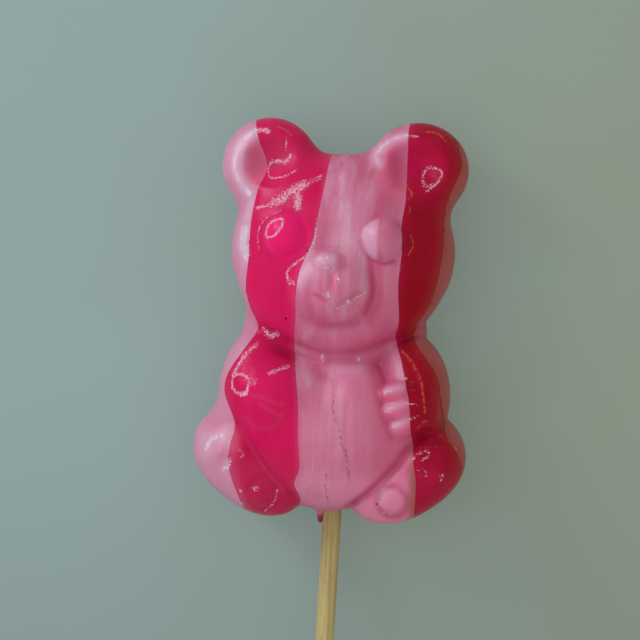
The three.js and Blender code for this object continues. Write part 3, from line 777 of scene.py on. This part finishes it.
def surface_marks(points, normals):
    """What the sugar shows at every point, with painted light and shade among it, each mark from 0 to 1.
    """
    x, y, z = points.T
    front = ramp(z, *FRONT)
    return dict(
        # painted shade in the creases
        crease=crease_shade_mark(points, normals),
        # painted glow in the ear dishes and the bottoms of grooves
        glow=np.maximum(dish_glow_mark(x, y, z), front * strokes(x, y, GLOW)),
        # painted shade that darkens the crimson
        deep=painted_shade_mark(x, y),
        thin=thin_mark(x, y),
        # the left eye painted lighter, as a glow
        eye=front * eye_glow_mark(x, y),
        # painted shade along the right edge
        right_edge_shade=right_edge_shade_mark(x, y),
        # grains painted whitish as highlights
        frost_highlight=front * strokes(x, y, FROST_HIGHLIGHTS),
        # painted lavender sheen, and a painted reflection on the right eye
        painted_sheen=front * painted_sheen_mark(x, y),
        # painted deep pink shade in valleys and creases
        pink_shade=front * pink_shade_mark(x, y),
        # painted orange glints
        orange_glints=front * strokes(x, y, ORANGE_GLINTS),
        crack=front * strokes(x, y, CRACKS),
        drip=drip_mark(x, y, z),
    )


def bear_ribbons():
    """Points, normals, triangles with the ribbon that each is on, walls, and marks."""
    points, quads = surface_net()
    points, _ = settle(points)
    across = np.linalg.norm(points[quads[:, 0]] - points[quads[:, 2]], axis=1)
    other = np.linalg.norm(points[quads[:, 1]] - points[quads[:, 3]], axis=1)
    turned = np.where((across > other)[:, None], quads[:, [1, 2, 3, 0]], quads)
    triangles = np.concatenate([turned[:, [0, 1, 2]], turned[:, [0, 2, 3]]])
    on_line = np.full(len(points), -1)
    for line in range(len(RIBBON_LINES)):
        points, triangles, on_line = split(points, triangles, on_line, line)
    lines = np.arange(len(RIBBON_LINES))
    off = np.stack([points[:, 0] - line_x(line, points[:, 1]) for line in lines])
    off[on_line[None, :] == lines[:, None]] = 0
    band = (off[:, triangles].sum(axis=2) > 0).sum(axis=0)
    points, normals = settle_cut(points, on_line)

    walls = []
    for line in range(len(RIBBON_LINES)):
        mine = triangles[band == line]
        edges = np.concatenate([mine[:, [0, 1]], mine[:, [1, 2]], mine[:, [2, 0]]])
        rim = edges[(on_line[edges] == line).all(axis=1)]
        walls.append(wall(line, points, rim))
    return points, normals, triangles, band, walls, surface_marks(points, normals)


def wall_normals(line, corners, right_side):
    """Normals of a wall's corners, square to its line and level."""
    y = corners[:, :, 1]
    lean = (line_x(line, y + LEAN_REACH) - line_x(line, y - LEAN_REACH)) / (2 * LEAN_REACH)
    facing = np.stack([np.ones_like(lean), -lean, np.zeros_like(lean)], axis=2)
    facing /= np.linalg.norm(facing, axis=2, keepdims=True)
    return facing if right_side else -facing


def ribbon_faces(ribbon, number):
    """Points, triangles and normals of one ribbon: its outer face and the walls beside it."""
    points, normals, triangles, band, walls, _ = ribbon
    outer = triangles[band == number]
    faces, corner_normals = [outer], [normals[outer]]
    everything = points
    for line, (wall_triangles, inner) in enumerate(walls):
        if line in (number - 1, number):
            added = wall_triangles >= len(points)
            shifted = wall_triangles + np.where(added, len(everything) - len(points), 0)
            right_side = line == number
            facing_out = shifted if right_side else shifted[:, ::-1]
            everything = np.concatenate([everything, inner])
            faces.append(facing_out)
            corner_normals.append(wall_normals(line, everything[facing_out], right_side))
    return everything, np.concatenate(faces), np.concatenate(corner_normals).reshape(-1, 3)


def ribbon_mesh(name, ribbon, number):
    everything, faces, corner_normals = ribbon_faces(ribbon, number)
    used, compact = np.unique(faces, return_inverse=True)
    place = (everything[used] + (0, 0, BACK_DEPTH)) * MM
    mesh = bpy.data.meshes.new(name)
    mesh.from_pydata(place.tolist(), [], compact.reshape(-1, 3).tolist())
    mesh.shade_smooth()
    mesh.normals_split_custom_set(corner_normals.tolist())
    for mark, values in ribbon[-1].items():
        in_walls = np.zeros(len(everything) - len(values))
        shown = np.concatenate([values, in_walls])[used]
        mesh.attributes.new(mark, "FLOAT", "POINT").data.foreach_set("value", shown)
    return link(name, mesh)


def link(name, data):
    piece = bpy.data.objects.new(name, data)
    bpy.context.scene.collection.objects.link(piece)
    return piece


# ---------------------------------------------------------------- the stick

STICK = dict(radius=2.0, length=150.0, buried=46.0, x=0.8, z=-1.5, sides=48)
SEAT = BELLY["at"][1] - BELLY["radii"][1]
STICK_TOP = SEAT + STICK["buried"]
STICK_ROUNDING = ((0.0, 0.86), (0.12, 0.94), (0.3, 0.985), (0.6, 1.0))  # from the end: mm, share
STICK_RINGS = 120
STICK_SLACK = 0.026  # its swellings stay this much inside the radius
STICK_SWELLINGS = ((0.012, 2, 0.02), (0.008, 3, 0.05))  # depth, lumps around, turn a millimetre
STICK_WAVER = (0.006, 0.11)  # depth, turn a millimetre


def stick_mesh():
    """A turned dowel: a hair out of round, with softened ends."""
    length = STICK["length"]
    middle = [(at, 1.0) for at in np.linspace(1.5, length - 1.5, STICK_RINGS)]
    far_end = [(length - at, share) for at, share in reversed(STICK_ROUNDING)]
    rings = [*STICK_ROUNDING, *middle, *far_end]
    lumps = np.random.default_rng(11).uniform(0, 2 * math.pi, (3, 2))[:, 0]
    angles = np.linspace(0, 2 * math.pi, STICK["sides"], endpoint=False)
    points = []
    for at, share in rings:
        swell = STICK_WAVER[0] * math.sin(STICK_WAVER[1] * at + lumps[2])
        for lump, (depth, around, turn) in zip(lumps, STICK_SWELLINGS):
            swell = swell + depth * np.sin(around * angles + turn * at + lump)
        radius = (STICK["radius"] - STICK_SLACK + swell) * share
        ring = [STICK["x"] + radius * np.cos(angles), np.full(angles.shape, STICK_TOP - at)]
        ring.append(STICK["z"] + BACK_DEPTH + radius * np.sin(angles))
        points.append(np.stack(ring, axis=1))
    count = STICK["sides"]
    faces = []
    for ring in range(len(rings) - 1):
        for n in range(count):
            a, b = ring * count + n, ring * count + (n + 1) % count
            faces.append((a, b, b + count, a + count))
    faces.append(tuple(reversed(range(count))))
    faces.append(tuple(range((len(rings) - 1) * count, len(rings) * count)))
    mesh = bpy.data.meshes.new("wood_stick")
    mesh.from_pydata((np.concatenate(points) * MM).tolist(), [], faces)
    mesh.shade_smooth()
    for end in (-1, -2):
        mesh.polygons[len(faces) + end].use_smooth = False
    return link("wood_stick", mesh)


# ---------------------------------------------------------------- materials


class Shader:
    """Builds one material's nodes. Sockets are passed on, plain numbers and colours are set."""

    def __init__(self, name):
        self.material = bpy.data.materials.new(name)
        self.material.use_nodes = True
        self.tree = self.material.node_tree
        self.surface = self.tree.nodes["Principled BSDF"]
        coordinates = self.tree.nodes.new("ShaderNodeTexCoord")
        self.place = self.vector("MULTIPLY", coordinates.outputs["Object"], (1 / MM,) * 3)
        split_place = self.tree.nodes.new("ShaderNodeSeparateXYZ")
        self.tree.links.new(self.place, split_place.inputs[0])
        self.x, self.y, self.z = split_place.outputs

    def put(self, socket, value):
        if isinstance(value, bpy.types.NodeSocket):
            self.tree.links.new(value, socket)
        elif hasattr(value, "__len__") and len(value) == 3 and socket.type == "RGBA":
            socket.default_value = (*value, 1)
        else:
            socket.default_value = value

    def math(self, operation, a, b):
        node = self.tree.nodes.new("ShaderNodeMath")
        node.operation = operation
        self.put(node.inputs[0], a)
        self.put(node.inputs[1], b)
        return node.outputs[0]

    def times(self, a, b):
        return self.math("MULTIPLY", a, b)

    def total(self, *parts):
        """The sum of values, each of them times its share."""
        products = [self.times(value, share) for value, share in parts]
        added = products[0]
        for product in products[1:]:
            added = self.math("ADD", added, product)
        return added

    def vector(self, operation, a, b):
        node = self.tree.nodes.new("ShaderNodeVectorMath")
        node.operation = operation
        self.put(node.inputs[0], a)
        self.put(node.inputs[1], b)
        return node.outputs[0]

    def joined(self, x, y, z):
        node = self.tree.nodes.new("ShaderNodeCombineXYZ")
        for socket, value in zip(node.inputs, (x, y, z)):
            self.put(socket, value)
        return node.outputs[0]

    def noise(self, scale, detail=3.0, roughness=0.5, at=None, shift=(0, 0, 0)):
        """Noise with so many features a millimetre along x, y and z, from 0 to 1."""
        node = self.tree.nodes.new("ShaderNodeTexNoise")
        scale = scale if hasattr(scale, "__len__") else (scale,) * 3
        stretched = self.vector("MULTIPLY", at or self.place, scale)
        self.put(node.inputs["Vector"], self.vector("ADD", stretched, shift))
        self.put(node.inputs["Scale"], 1.0)
        self.put(node.inputs["Detail"], detail)
        self.put(node.inputs["Roughness"], roughness)
        return node.outputs["Fac"]

    def cells(self, scale):
        """Distance to the nearest of scattered points, so many of them a millimetre."""
        node = self.tree.nodes.new("ShaderNodeTexVoronoi")
        self.put(node.inputs["Vector"], self.place)
        self.put(node.inputs["Scale"], scale)
        return node.outputs["Distance"]

    def span(self, value, low, high, to_low=0.0, to_high=1.0):
        """Maps low..high softly to to_low..to_high, held at both ends."""
        node = self.tree.nodes.new("ShaderNodeMapRange")
        node.interpolation_type = "SMOOTHSTEP"
        names = ("Value", "From Min", "From Max", "To Min", "To Max")
        for name, part in zip(names, (value, low, high, to_low, to_high)):
            self.put(node.inputs[name], part)
        return node.outputs["Result"]

    def mix(self, share, a, b):
        node = self.tree.nodes.new("ShaderNodeMix")
        node.data_type = "RGBA"
        sockets = [s for s in node.inputs if s.type == "RGBA"]
        self.put(node.inputs[0], share)
        self.put(sockets[0], a)
        self.put(sockets[1], b)
        return next(s for s in node.outputs if s.type == "RGBA")

    def mark(self, name, share=None):
        """One of the marks that the mesh carries, or a share of it."""
        node = self.tree.nodes.new("ShaderNodeAttribute")
        node.attribute_name = name
        shown = node.outputs["Fac"]
        return shown if share is None else self.times(shown, share)

    def bump(self, height, depth_mm, normal=None):
        node = self.tree.nodes.new("ShaderNodeBump")
        self.put(node.inputs["Strength"], 1.0)
        self.put(node.inputs["Distance"], depth_mm * MM)
        self.put(node.inputs["Height"], height)
        if normal is not None:
            self.put(node.inputs["Normal"], normal)
        return node.outputs["Normal"]

    def finish(self, **sockets):
        for name, value in sockets.items():
            self.put(self.surface.inputs[name.replace("_", " ")], value)
        return self.material


SPECKS = ((-10.1, 4.0), (11.5, -34.3))
SPECK_EDGE = (0.09, 0.02)  # squares of the radii between which a speck fades out
PALE = dict(
    dark=(0.56, 0.108, 0.218),
    middle=(0.61, 0.190, 0.315),
    light=(0.66, 0.305, 0.425),
    # painted shade towards the right, darker lower down
    low_right=(0.57, 0.088, 0.195),
    paw=(0.74, 0.235, 0.37),
    # painted sheen on the left
    left=(0.57, 0.235, 0.35),
    # painted shade in the creases
    crease=(0.50, 0.055, 0.145),
    # painted glow, a lighter pink
    glow=(0.80, 0.105, 0.235),
    # painted shade, deep pink
    pink_shade=(0.48, 0.030, 0.120),
    # painted shade on the right edge
    rim=(0.36, 0.072, 0.060),
    # painted shade along the right seam
    right_edge_shade=(0.34, 0.040, 0.034),
    # painted lavender sheen
    painted_sheen=(0.66, 0.40, 0.54),
    # painted glints
    glint=(0.86, 0.74, 0.82),
    crack=(0.26, 0.04, 0.08),
    # painted orange glint
    orange_glint=(0.62, 0.20, 0.10),
    # grains painted whitish as highlights
    frost_highlight=(0.84, 0.64, 0.74),
    bubble=(0.80, 0.55, 0.66),
    speck=(0.04, 0.008, 0.012),
    drip=(0.30, 0.012, 0.05),
)
CRIMSON = dict(
    dark=(0.55, 0.007, 0.077),
    light=(0.64, 0.012, 0.108),
    # painted shade
    deep=(0.30, 0.0050, 0.014),
    # painted glow of the left eye
    eye=(0.88, 0.015, 0.172),
    # painted shade in the creases
    crease=(0.30, 0.004, 0.030),
    # painted shade along the right seam
    right_edge_shade=(0.31, 0.030, 0.026),
    foot=(0.46, 0.024, 0.082),
    thin=(0.60, 0.09, 0.19),
    # painted orange glint
    orange_glint=(0.62, 0.12, 0.05),
    # grains painted whitish as highlights
    frost_highlight=(0.82, 0.42, 0.56),
    bubble=(0.75, 0.20, 0.32),
    speck=(0.03, 0.002, 0.004),
)
WOOD = dict(dark=(0.34, 0.228, 0.080), light=(0.52, 0.408, 0.166), pore=(0.20, 0.12, 0.045))


def frost_highlight_grains(s):
    """Where grains stand on the surface, painted whitish as highlights, and how high."""
    mask = s.mark("frost_highlight")
    grain = s.noise(2.6, detail=2.5, roughness=0.65, shift=(7, 3, 1))
    lifted = s.math("ADD", grain, s.times(mask, 0.36))
    shown = s.times(s.span(lifted, 0.61, 0.72), s.span(mask, 0.10, 0.26))
    return shown, s.times(shown, grain)


def speck_mask(s):
    """Small dark specks in the sugar."""
    specks = None
    for x, y in SPECKS:
        across = s.math("SUBTRACT", s.x, x)
        along = s.math("SUBTRACT", s.y, y)
        square = s.math("ADD", s.times(across, across), s.times(along, along))
        speck = s.span(square, *SPECK_EDGE)
        specks = speck if specks is None else s.math("MAXIMUM", specks, speck)
    return specks


def pits(s):
    """Tiny light bubbles that broke at the surface."""
    spots = s.span(s.cells(0.75), 0.11, 0.05)
    some = s.span(s.noise(0.5, detail=1, shift=(6, 6, 2)), 0.55, 0.62)
    return s.times(spots, some)


def broken(s, mark, share):
    """The middle of a mark, which comes and goes along its length."""
    gaps = s.span(s.noise(1.1, detail=2, shift=(2, 9, 4)), 0.40, 0.58, 0.1, share)
    return s.times(s.span(s.mark(mark), 0.25, 0.75), gaps)


def spotted(s, colour, tints, grains, grain_share, bubble_share):
    """A sugar's colour with the grains, painted whitish as highlights, and the bubbles and specks on it.
    """
    colour = s.mix(s.times(grains, grain_share), colour, tints["frost_highlight"])
    colour = s.mix(s.times(pits(s), bubble_share), colour, tints["bubble"])
    return s.mix(speck_mask(s), colour, tints["speck"])


def pulled_grain(s):
    """Bands, streaks and hairs that run down the sugar as it was pulled, wandering a little."""
    wander = s.noise((0.05, 0.03, 0.05), detail=2, shift=(3.1, 0, 0))
    across = s.math("ADD", s.x, s.times(wander, 6.0))
    along = s.joined(across, s.y, s.z)
    bands = s.noise((0.20, 0.008, 0.10), detail=2.0, roughness=0.5, at=along)
    streaks = s.noise((0.75, 0.022, 0.3), detail=3, roughness=0.6, at=along, shift=(2, 5, 0))
    hairs = s.noise((3.0, 0.09, 1.5), detail=3, roughness=0.6, at=along, shift=(9, 2, 5))
    return bands, streaks, hairs


def pulled_colour(s, bands, streaks, hairs):
    """The pale sugar's colour before what is on it: its bands and streaks, with painted shade towards
    the right and darker lower down, and painted sheen on the left.
    """
    clouds = s.noise(0.10, detail=3, shift=(1, 7, 2))
    dust = s.noise(1.7, detail=2, shift=(5, 8, 8))
    tone = s.total((bands, 0.5), (streaks, 0.24), (hairs, 0.05), (clouds, 0.21))
    tone = s.math("ADD", tone, s.span(dust, 0.3, 0.7, -0.01, 0.02))
    colour = s.mix(s.span(tone, 0.41, 0.52), PALE["dark"], PALE["middle"])
    colour = s.mix(s.span(tone, 0.51, 0.62), colour, PALE["light"])
    # Painted shade: darker, deeper pink towards the right, away from the light, and darker lower down.
    right = s.span(s.x, 0.0, 14.0, 0.0, 0.45)
    low = s.span(s.y, 16.0, 4.0, 0.0, 0.42)
    colour = s.mix(s.math("ADD", right, low), colour, PALE["low_right"])
    paw = s.times(s.span(s.y, -26.0, -31.0), s.span(s.x, -6.0, 8.0, 0.15, 0.6))
    colour = s.mix(paw, colour, PALE["paw"])
    # Painted sheen: paler and more lavender on the left, towards the light.
    left = s.times(s.span(s.x, -14.0, -19.0), 0.7)
    return s.mix(left, colour, PALE["left"])


def pale_sugar():
    s = Shader("pale_sugar")
    bands, streaks, hairs = pulled_grain(s)
    colour = pulled_colour(s, bands, streaks, hairs)
    # Painted shade in the creases, painted glow in the ear dishes and groove bottoms, and painted deep
    # pink shade in the valleys.
    for mark, share in (("crease", 0.6), ("glow", 0.75), ("pink_shade", 0.9)):
        colour = s.mix(s.mark(mark, share), colour, PALE[mark])
    # Painted shade: the right edge of the pale sugar is painted a dark brown.
    rim = s.times(s.span(s.x, 17.2, 19.5), 0.9)
    colour = s.mix(rim, colour, PALE["rim"])
    # Painted shade along the right seam, then the painted lavender sheen.
    for mark, share in (("right_edge_shade", 0.7), ("painted_sheen", 0.85)):
        colour = s.mix(s.mark(mark, share), colour, PALE[mark])
    # Painted glints: whiter spots in the middle of the painted sheen.
    glints = s.span(s.noise((0.9, 0.35, 0.5), detail=3, shift=(3, 8, 1)), 0.44, 0.60, 0.1, 0.5)
    glints = s.times(s.span(s.mark("painted_sheen"), 0.5, 0.8), glints)
    colour = s.mix(glints, colour, PALE["glint"])
    dots = s.span(s.noise((2.6, 1.3, 2.6), detail=2, shift=(4, 4, 4)), 0.47, 0.56)
    crack = s.times(s.span(s.mark("crack"), 0.25, 0.7), dots)
    colour = s.mix(s.times(crack, 0.55), colour, PALE["crack"])
    # Painted orange glints.
    colour = s.mix(broken(s, "orange_glints", 0.6), colour, PALE["orange_glint"])
    # Grains, painted whitish as highlights.
    grains, height = frost_highlight_grains(s)
    colour = spotted(s, colour, PALE, grains, 0.65, 0.4)
    colour = s.mix(s.mark("drip"), colour, PALE["drip"])
    satin = s.total((streaks, 0.5), (hairs, 0.4), (crack, -0.25))
    normal = s.bump(satin, 0.05)
    normal = s.bump(s.noise(0.35, detail=2, shift=(4, 4, 1)), 0.16, normal)
    normal = s.bump(height, 0.12, normal)
    return s.finish(
        Base_Color=colour,
        Roughness=s.span(streaks, 0.3, 0.7, 0.40, 0.52),
        Normal=normal,
        Subsurface_Weight=0.25,
        Subsurface_Radius=(1.0, 0.45, 0.55),
        Subsurface_Scale=1.2 * MM,
        Specular_IOR_Level=0.5,
        Coat_Weight=0.15,
        Coat_Roughness=0.35,
    )


def crimson_sugar():
    s = Shader("crimson_sugar")
    clouds = s.noise(0.07, detail=2, shift=(5, 1, 3))
    veils = s.noise((0.30, 0.02, 0.15), detail=3, shift=(2, 2, 8))
    dust = s.noise(1.5, detail=2, shift=(1, 8, 8))
    tone = s.total((clouds, 0.5), (veils, 0.4), (dust, 0.1))
    colour = s.mix(s.span(tone, 0.36, 0.64), CRIMSON["dark"], CRIMSON["light"])
    # Painted shade: the crimson darkens by the deep mark, varied a little by its tone.
    deep = s.math("ADD", s.mark("deep"), s.span(tone, 0.3, 0.7, -0.08, 0.08))
    colour = s.mix(deep, colour, CRIMSON["deep"])
    # The left eye is painted lighter as a glow, with painted shade in the creases and along the right
    # edge.
    for mark, share in (("eye", 0.6), ("crease", 0.5), ("right_edge_shade", 0.6)):
        colour = s.mix(s.mark(mark, share), colour, CRIMSON[mark])
    feet = s.times(s.span(s.y, -22.0, -30.0), s.span(s.x, -5.0, 15.0, 0.5, 0.15))
    colour = s.mix(feet, colour, CRIMSON["foot"])
    colour = s.mix(s.mark("thin", 0.6), colour, CRIMSON["thin"])
    # Painted orange glints.
    colour = s.mix(broken(s, "orange_glints", 0.65), colour, CRIMSON["orange_glint"])
    # Grains, painted whitish as highlights.
    grains, height = frost_highlight_grains(s)
    colour = spotted(s, colour, CRIMSON, grains, 0.8, 0.35)
    crinkle = s.noise(2.4, detail=3, roughness=0.7)
    patches = s.span(s.noise(0.13, detail=1, shift=(8, 0, 4)), 0.42, 0.6, 0.35, 1.0)
    waves = s.noise(0.4, detail=2, shift=(0, 3, 3))
    normal = s.bump(s.times(crinkle, patches), 0.10)
    normal = s.bump(waves, 0.16, normal)
    # The painted glints' lines stand a little proud in the bump, with the grains.
    normal = s.bump(s.math("ADD", height, s.mark("orange_glints", 0.5)), 0.16, normal)
    return s.finish(
        Base_Color=colour,
        Roughness=s.span(grains, 0, 1, 0.16, 0.36),
        Normal=normal,
        Specular_IOR_Level=s.span(grains, 0, 1, 0.12, 0.5),
        Subsurface_Weight=0.3,
        Subsurface_Radius=(1.0, 0.06, 0.18),
        Subsurface_Scale=1.6 * MM,
    )


def pale_wood():
    s = Shader("pale_wood")
    grain = s.noise((2.2, 0.03, 2.2), detail=4, roughness=0.6)
    fine = s.noise((9.0, 0.12, 9.0), detail=3, roughness=0.7, shift=(3, 1, 4))
    pores = s.noise((6.0, 0.35, 6.0), detail=1, shift=(8, 5, 2))
    mottle = s.noise((0.5, 0.05, 0.5), detail=2, shift=(1, 1, 9))
    tone = s.total((grain, 0.5), (fine, 0.25), (mottle, 0.25))
    colour = s.mix(s.span(tone, 0.38, 0.62), WOOD["dark"], WOOD["light"])
    pore = s.span(pores, 0.68, 0.74)
    colour = s.mix(s.times(pore, 0.75), colour, WOOD["pore"])
    height = s.math("SUBTRACT", fine, s.times(pore, 0.7))
    return s.finish(
        Base_Color=colour,
        Roughness=s.span(grain, 0.3, 0.7, 0.55, 0.72),
        Normal=s.bump(height, 0.05),
    )


# ---------------------------------------------------------------- floor, light and camera

# The photograph's view: the bear leans 3.5 degrees and is seen 7 degrees from its left.
LEAN = math.radians(3.5)
SIDEWAYS = math.radians(7.0)
PHOTO_SIZE = 640
MM_A_PIXEL = 0.2162
ORIGIN_PIXEL = (336, 340)  # where the bear's own x = -0.5, y = 0 lies in the photograph
MIDDLE_OF_VIEW = (
    (PHOTO_SIZE / 2 - ORIGIN_PIXEL[0]) * MM_A_PIXEL,
    (ORIGIN_PIXEL[1] - PHOTO_SIZE / 2) * MM_A_PIXEL,
)
LENS, SENSOR = 200.0, 36.0
AIM = Vector((-0.5, 0.0, 0.0))
SKY = dict(colour=(0.90, 0.97, 1.0, 1), strength=0.62)
# Distances and sizes of the lights are in metres, their powers in watts.
LIGHTS = (
    dict(name="window", direction=(-0.76, 0.53, 0.42), distance=0.8, size=(0.2, 0.34), power=2.3,
         colour=(0.92, 0.97, 1.0), mirrored=True),
    dict(name="pale_wall", direction=(-0.74, 0.05, 0.67), distance=1.2, size=(1.2, 2.8), power=7,
         colour=(0.93, 0.97, 1.0), mirrored=False),
    dict(name="warm_wall", direction=(0.80, -0.10, 0.60), distance=1.0, size=(1.6, 1.6), power=1.6,
         colour=(1.0, 0.80, 0.30), mirrored=False),
    dict(name="table_side", direction=(0.10, -0.80, 0.60), distance=1.0, size=(1.2, 1.0), power=1.5,
         colour=(1.0, 0.96, 0.92), mirrored=False),
    dict(name="lamp", direction=(0.35, 0.90, 0.14), distance=0.7, size=(0.08, 0.08), power=0.12,
         colour=(1.0, 0.45, 0.16), mirrored=True),
)
FLOOR_SIZE = 3.0
# Painted light: the floor's colours on its left, on its right and towards the stick's end.
FLOOR = dict(left=(0.147, 0.196, 0.190), right=(0.138, 0.162, 0.128), near=(0.080, 0.100, 0.095))


def build_camera():
    right = Vector((math.cos(SIDEWAYS), 0, -math.sin(SIDEWAYS)))
    up = Vector((0, 1, 0))
    back = Vector((math.sin(SIDEWAYS), 0, math.cos(SIDEWAYS)))
    image_right = right * math.cos(LEAN) + up * math.sin(LEAN)
    image_up = up * math.cos(LEAN) - right * math.sin(LEAN)
    distance = PHOTO_SIZE * MM_A_PIXEL * LENS / SENSOR
    place = AIM + image_right * MIDDLE_OF_VIEW[0] + image_up * MIDDLE_OF_VIEW[1] + back * distance
    place.z += BACK_DEPTH
    data = bpy.data.cameras.new("camera")
    data.lens = LENS
    data.sensor_width = SENSOR
    data.clip_start = 0.01
    camera = link("camera", data)
    turn = Matrix((image_right, image_up, back)).transposed().to_4x4()
    camera.matrix_world = Matrix.Translation(place * MM) @ turn
    bpy.context.scene.camera = camera


def area_light(name, direction, distance, size, power, colour, mirrored):
    """A rectangular light that looks at the lollipop. Only a mirrored one shows in the gloss."""
    data = bpy.data.lights.new(name, "AREA")
    data.shape = "RECTANGLE"
    data.size, data.size_y = size
    data.energy = power
    data.color = colour
    light = link(name, data)
    light.visible_glossy = mirrored
    toward = Vector(direction).normalized()
    light.location = Vector((0, 0, BACK_DEPTH * MM)) + toward * distance
    light.rotation_euler = toward.to_track_quat("Z", "Y").to_euler()


def build_light():
    scene = bpy.context.scene
    scene.view_settings.view_transform = "Standard"
    world = bpy.data.worlds.new("soft_room")
    scene.world = world
    world.use_nodes = True
    sky = world.node_tree.nodes["Background"]
    sky.inputs["Color"].default_value = SKY["colour"]
    sky.inputs["Strength"].default_value = SKY["strength"]
    world.cycles_visibility.glossy = False
    for light in LIGHTS:
        area_light(**light)


def build_floor():
    """A plain floor with painted light: a little warmer on the right and darker towards the stick's end,
    as the light falls, and glowing with its own colour so that shadows on it stay light.
    """
    size = FLOOR_SIZE
    mesh = bpy.data.meshes.new("floor")
    corners = [(-size, -size, 0), (size, -size, 0), (size, size, 0), (-size, size, 0)]
    mesh.from_pydata(corners, [], [(0, 1, 2, 3)])
    floor = link("floor", mesh)
    s = Shader("floor_paint")
    uneven = s.span(s.noise(0.02, detail=2), 0.3, 0.7, -0.1, 0.1)
    rightward = s.math("ADD", s.span(s.x, -70, 80), uneven)
    colour = s.mix(rightward, FLOOR["left"], FLOOR["right"])
    nearer = s.span(s.y, 0, -90, 0.0, 0.3)
    colour = s.mix(nearer, colour, FLOOR["near"])
    # Painted light: the floor glows with its own colour, which lifts the shadows on it.
    paint = s.finish(
        Base_Color=colour, Roughness=0.9, Emission_Color=colour, Emission_Strength=0.85
    )
    mesh.materials.append(paint)


# ---------------------------------------------------------------- putting it together

RIBBON_PIECES = (
    ("sugar_left_pale", "ribbon_left_pale", "pale"),
    ("sugar_left_crimson", "ribbon_left_crimson", "crimson"),
    ("sugar_centre_pale", "ribbon_centre_pale", "pale"),
    ("sugar_right_crimson", "ribbon_right_crimson", "crimson"),
    ("sugar_right_pale", "ribbon_right_pale", "pale"),
)


def build_lollipop():
    finishes = {"pale": pale_sugar(), "crimson": crimson_sugar()}
    ribbon = bear_ribbons()
    for number, (name, node, sugar) in enumerate(RIBBON_PIECES):
        piece = ribbon_mesh(name, ribbon, number)
        piece.data.materials.append(finishes[sugar])
        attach(piece, "root")
        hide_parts(node)
    stick = stick_mesh()
    stick.data.materials.append(pale_wood())
    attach(stick, "root")
    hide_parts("stick")


build_camera()
build_light()
build_floor()
build_lollipop()
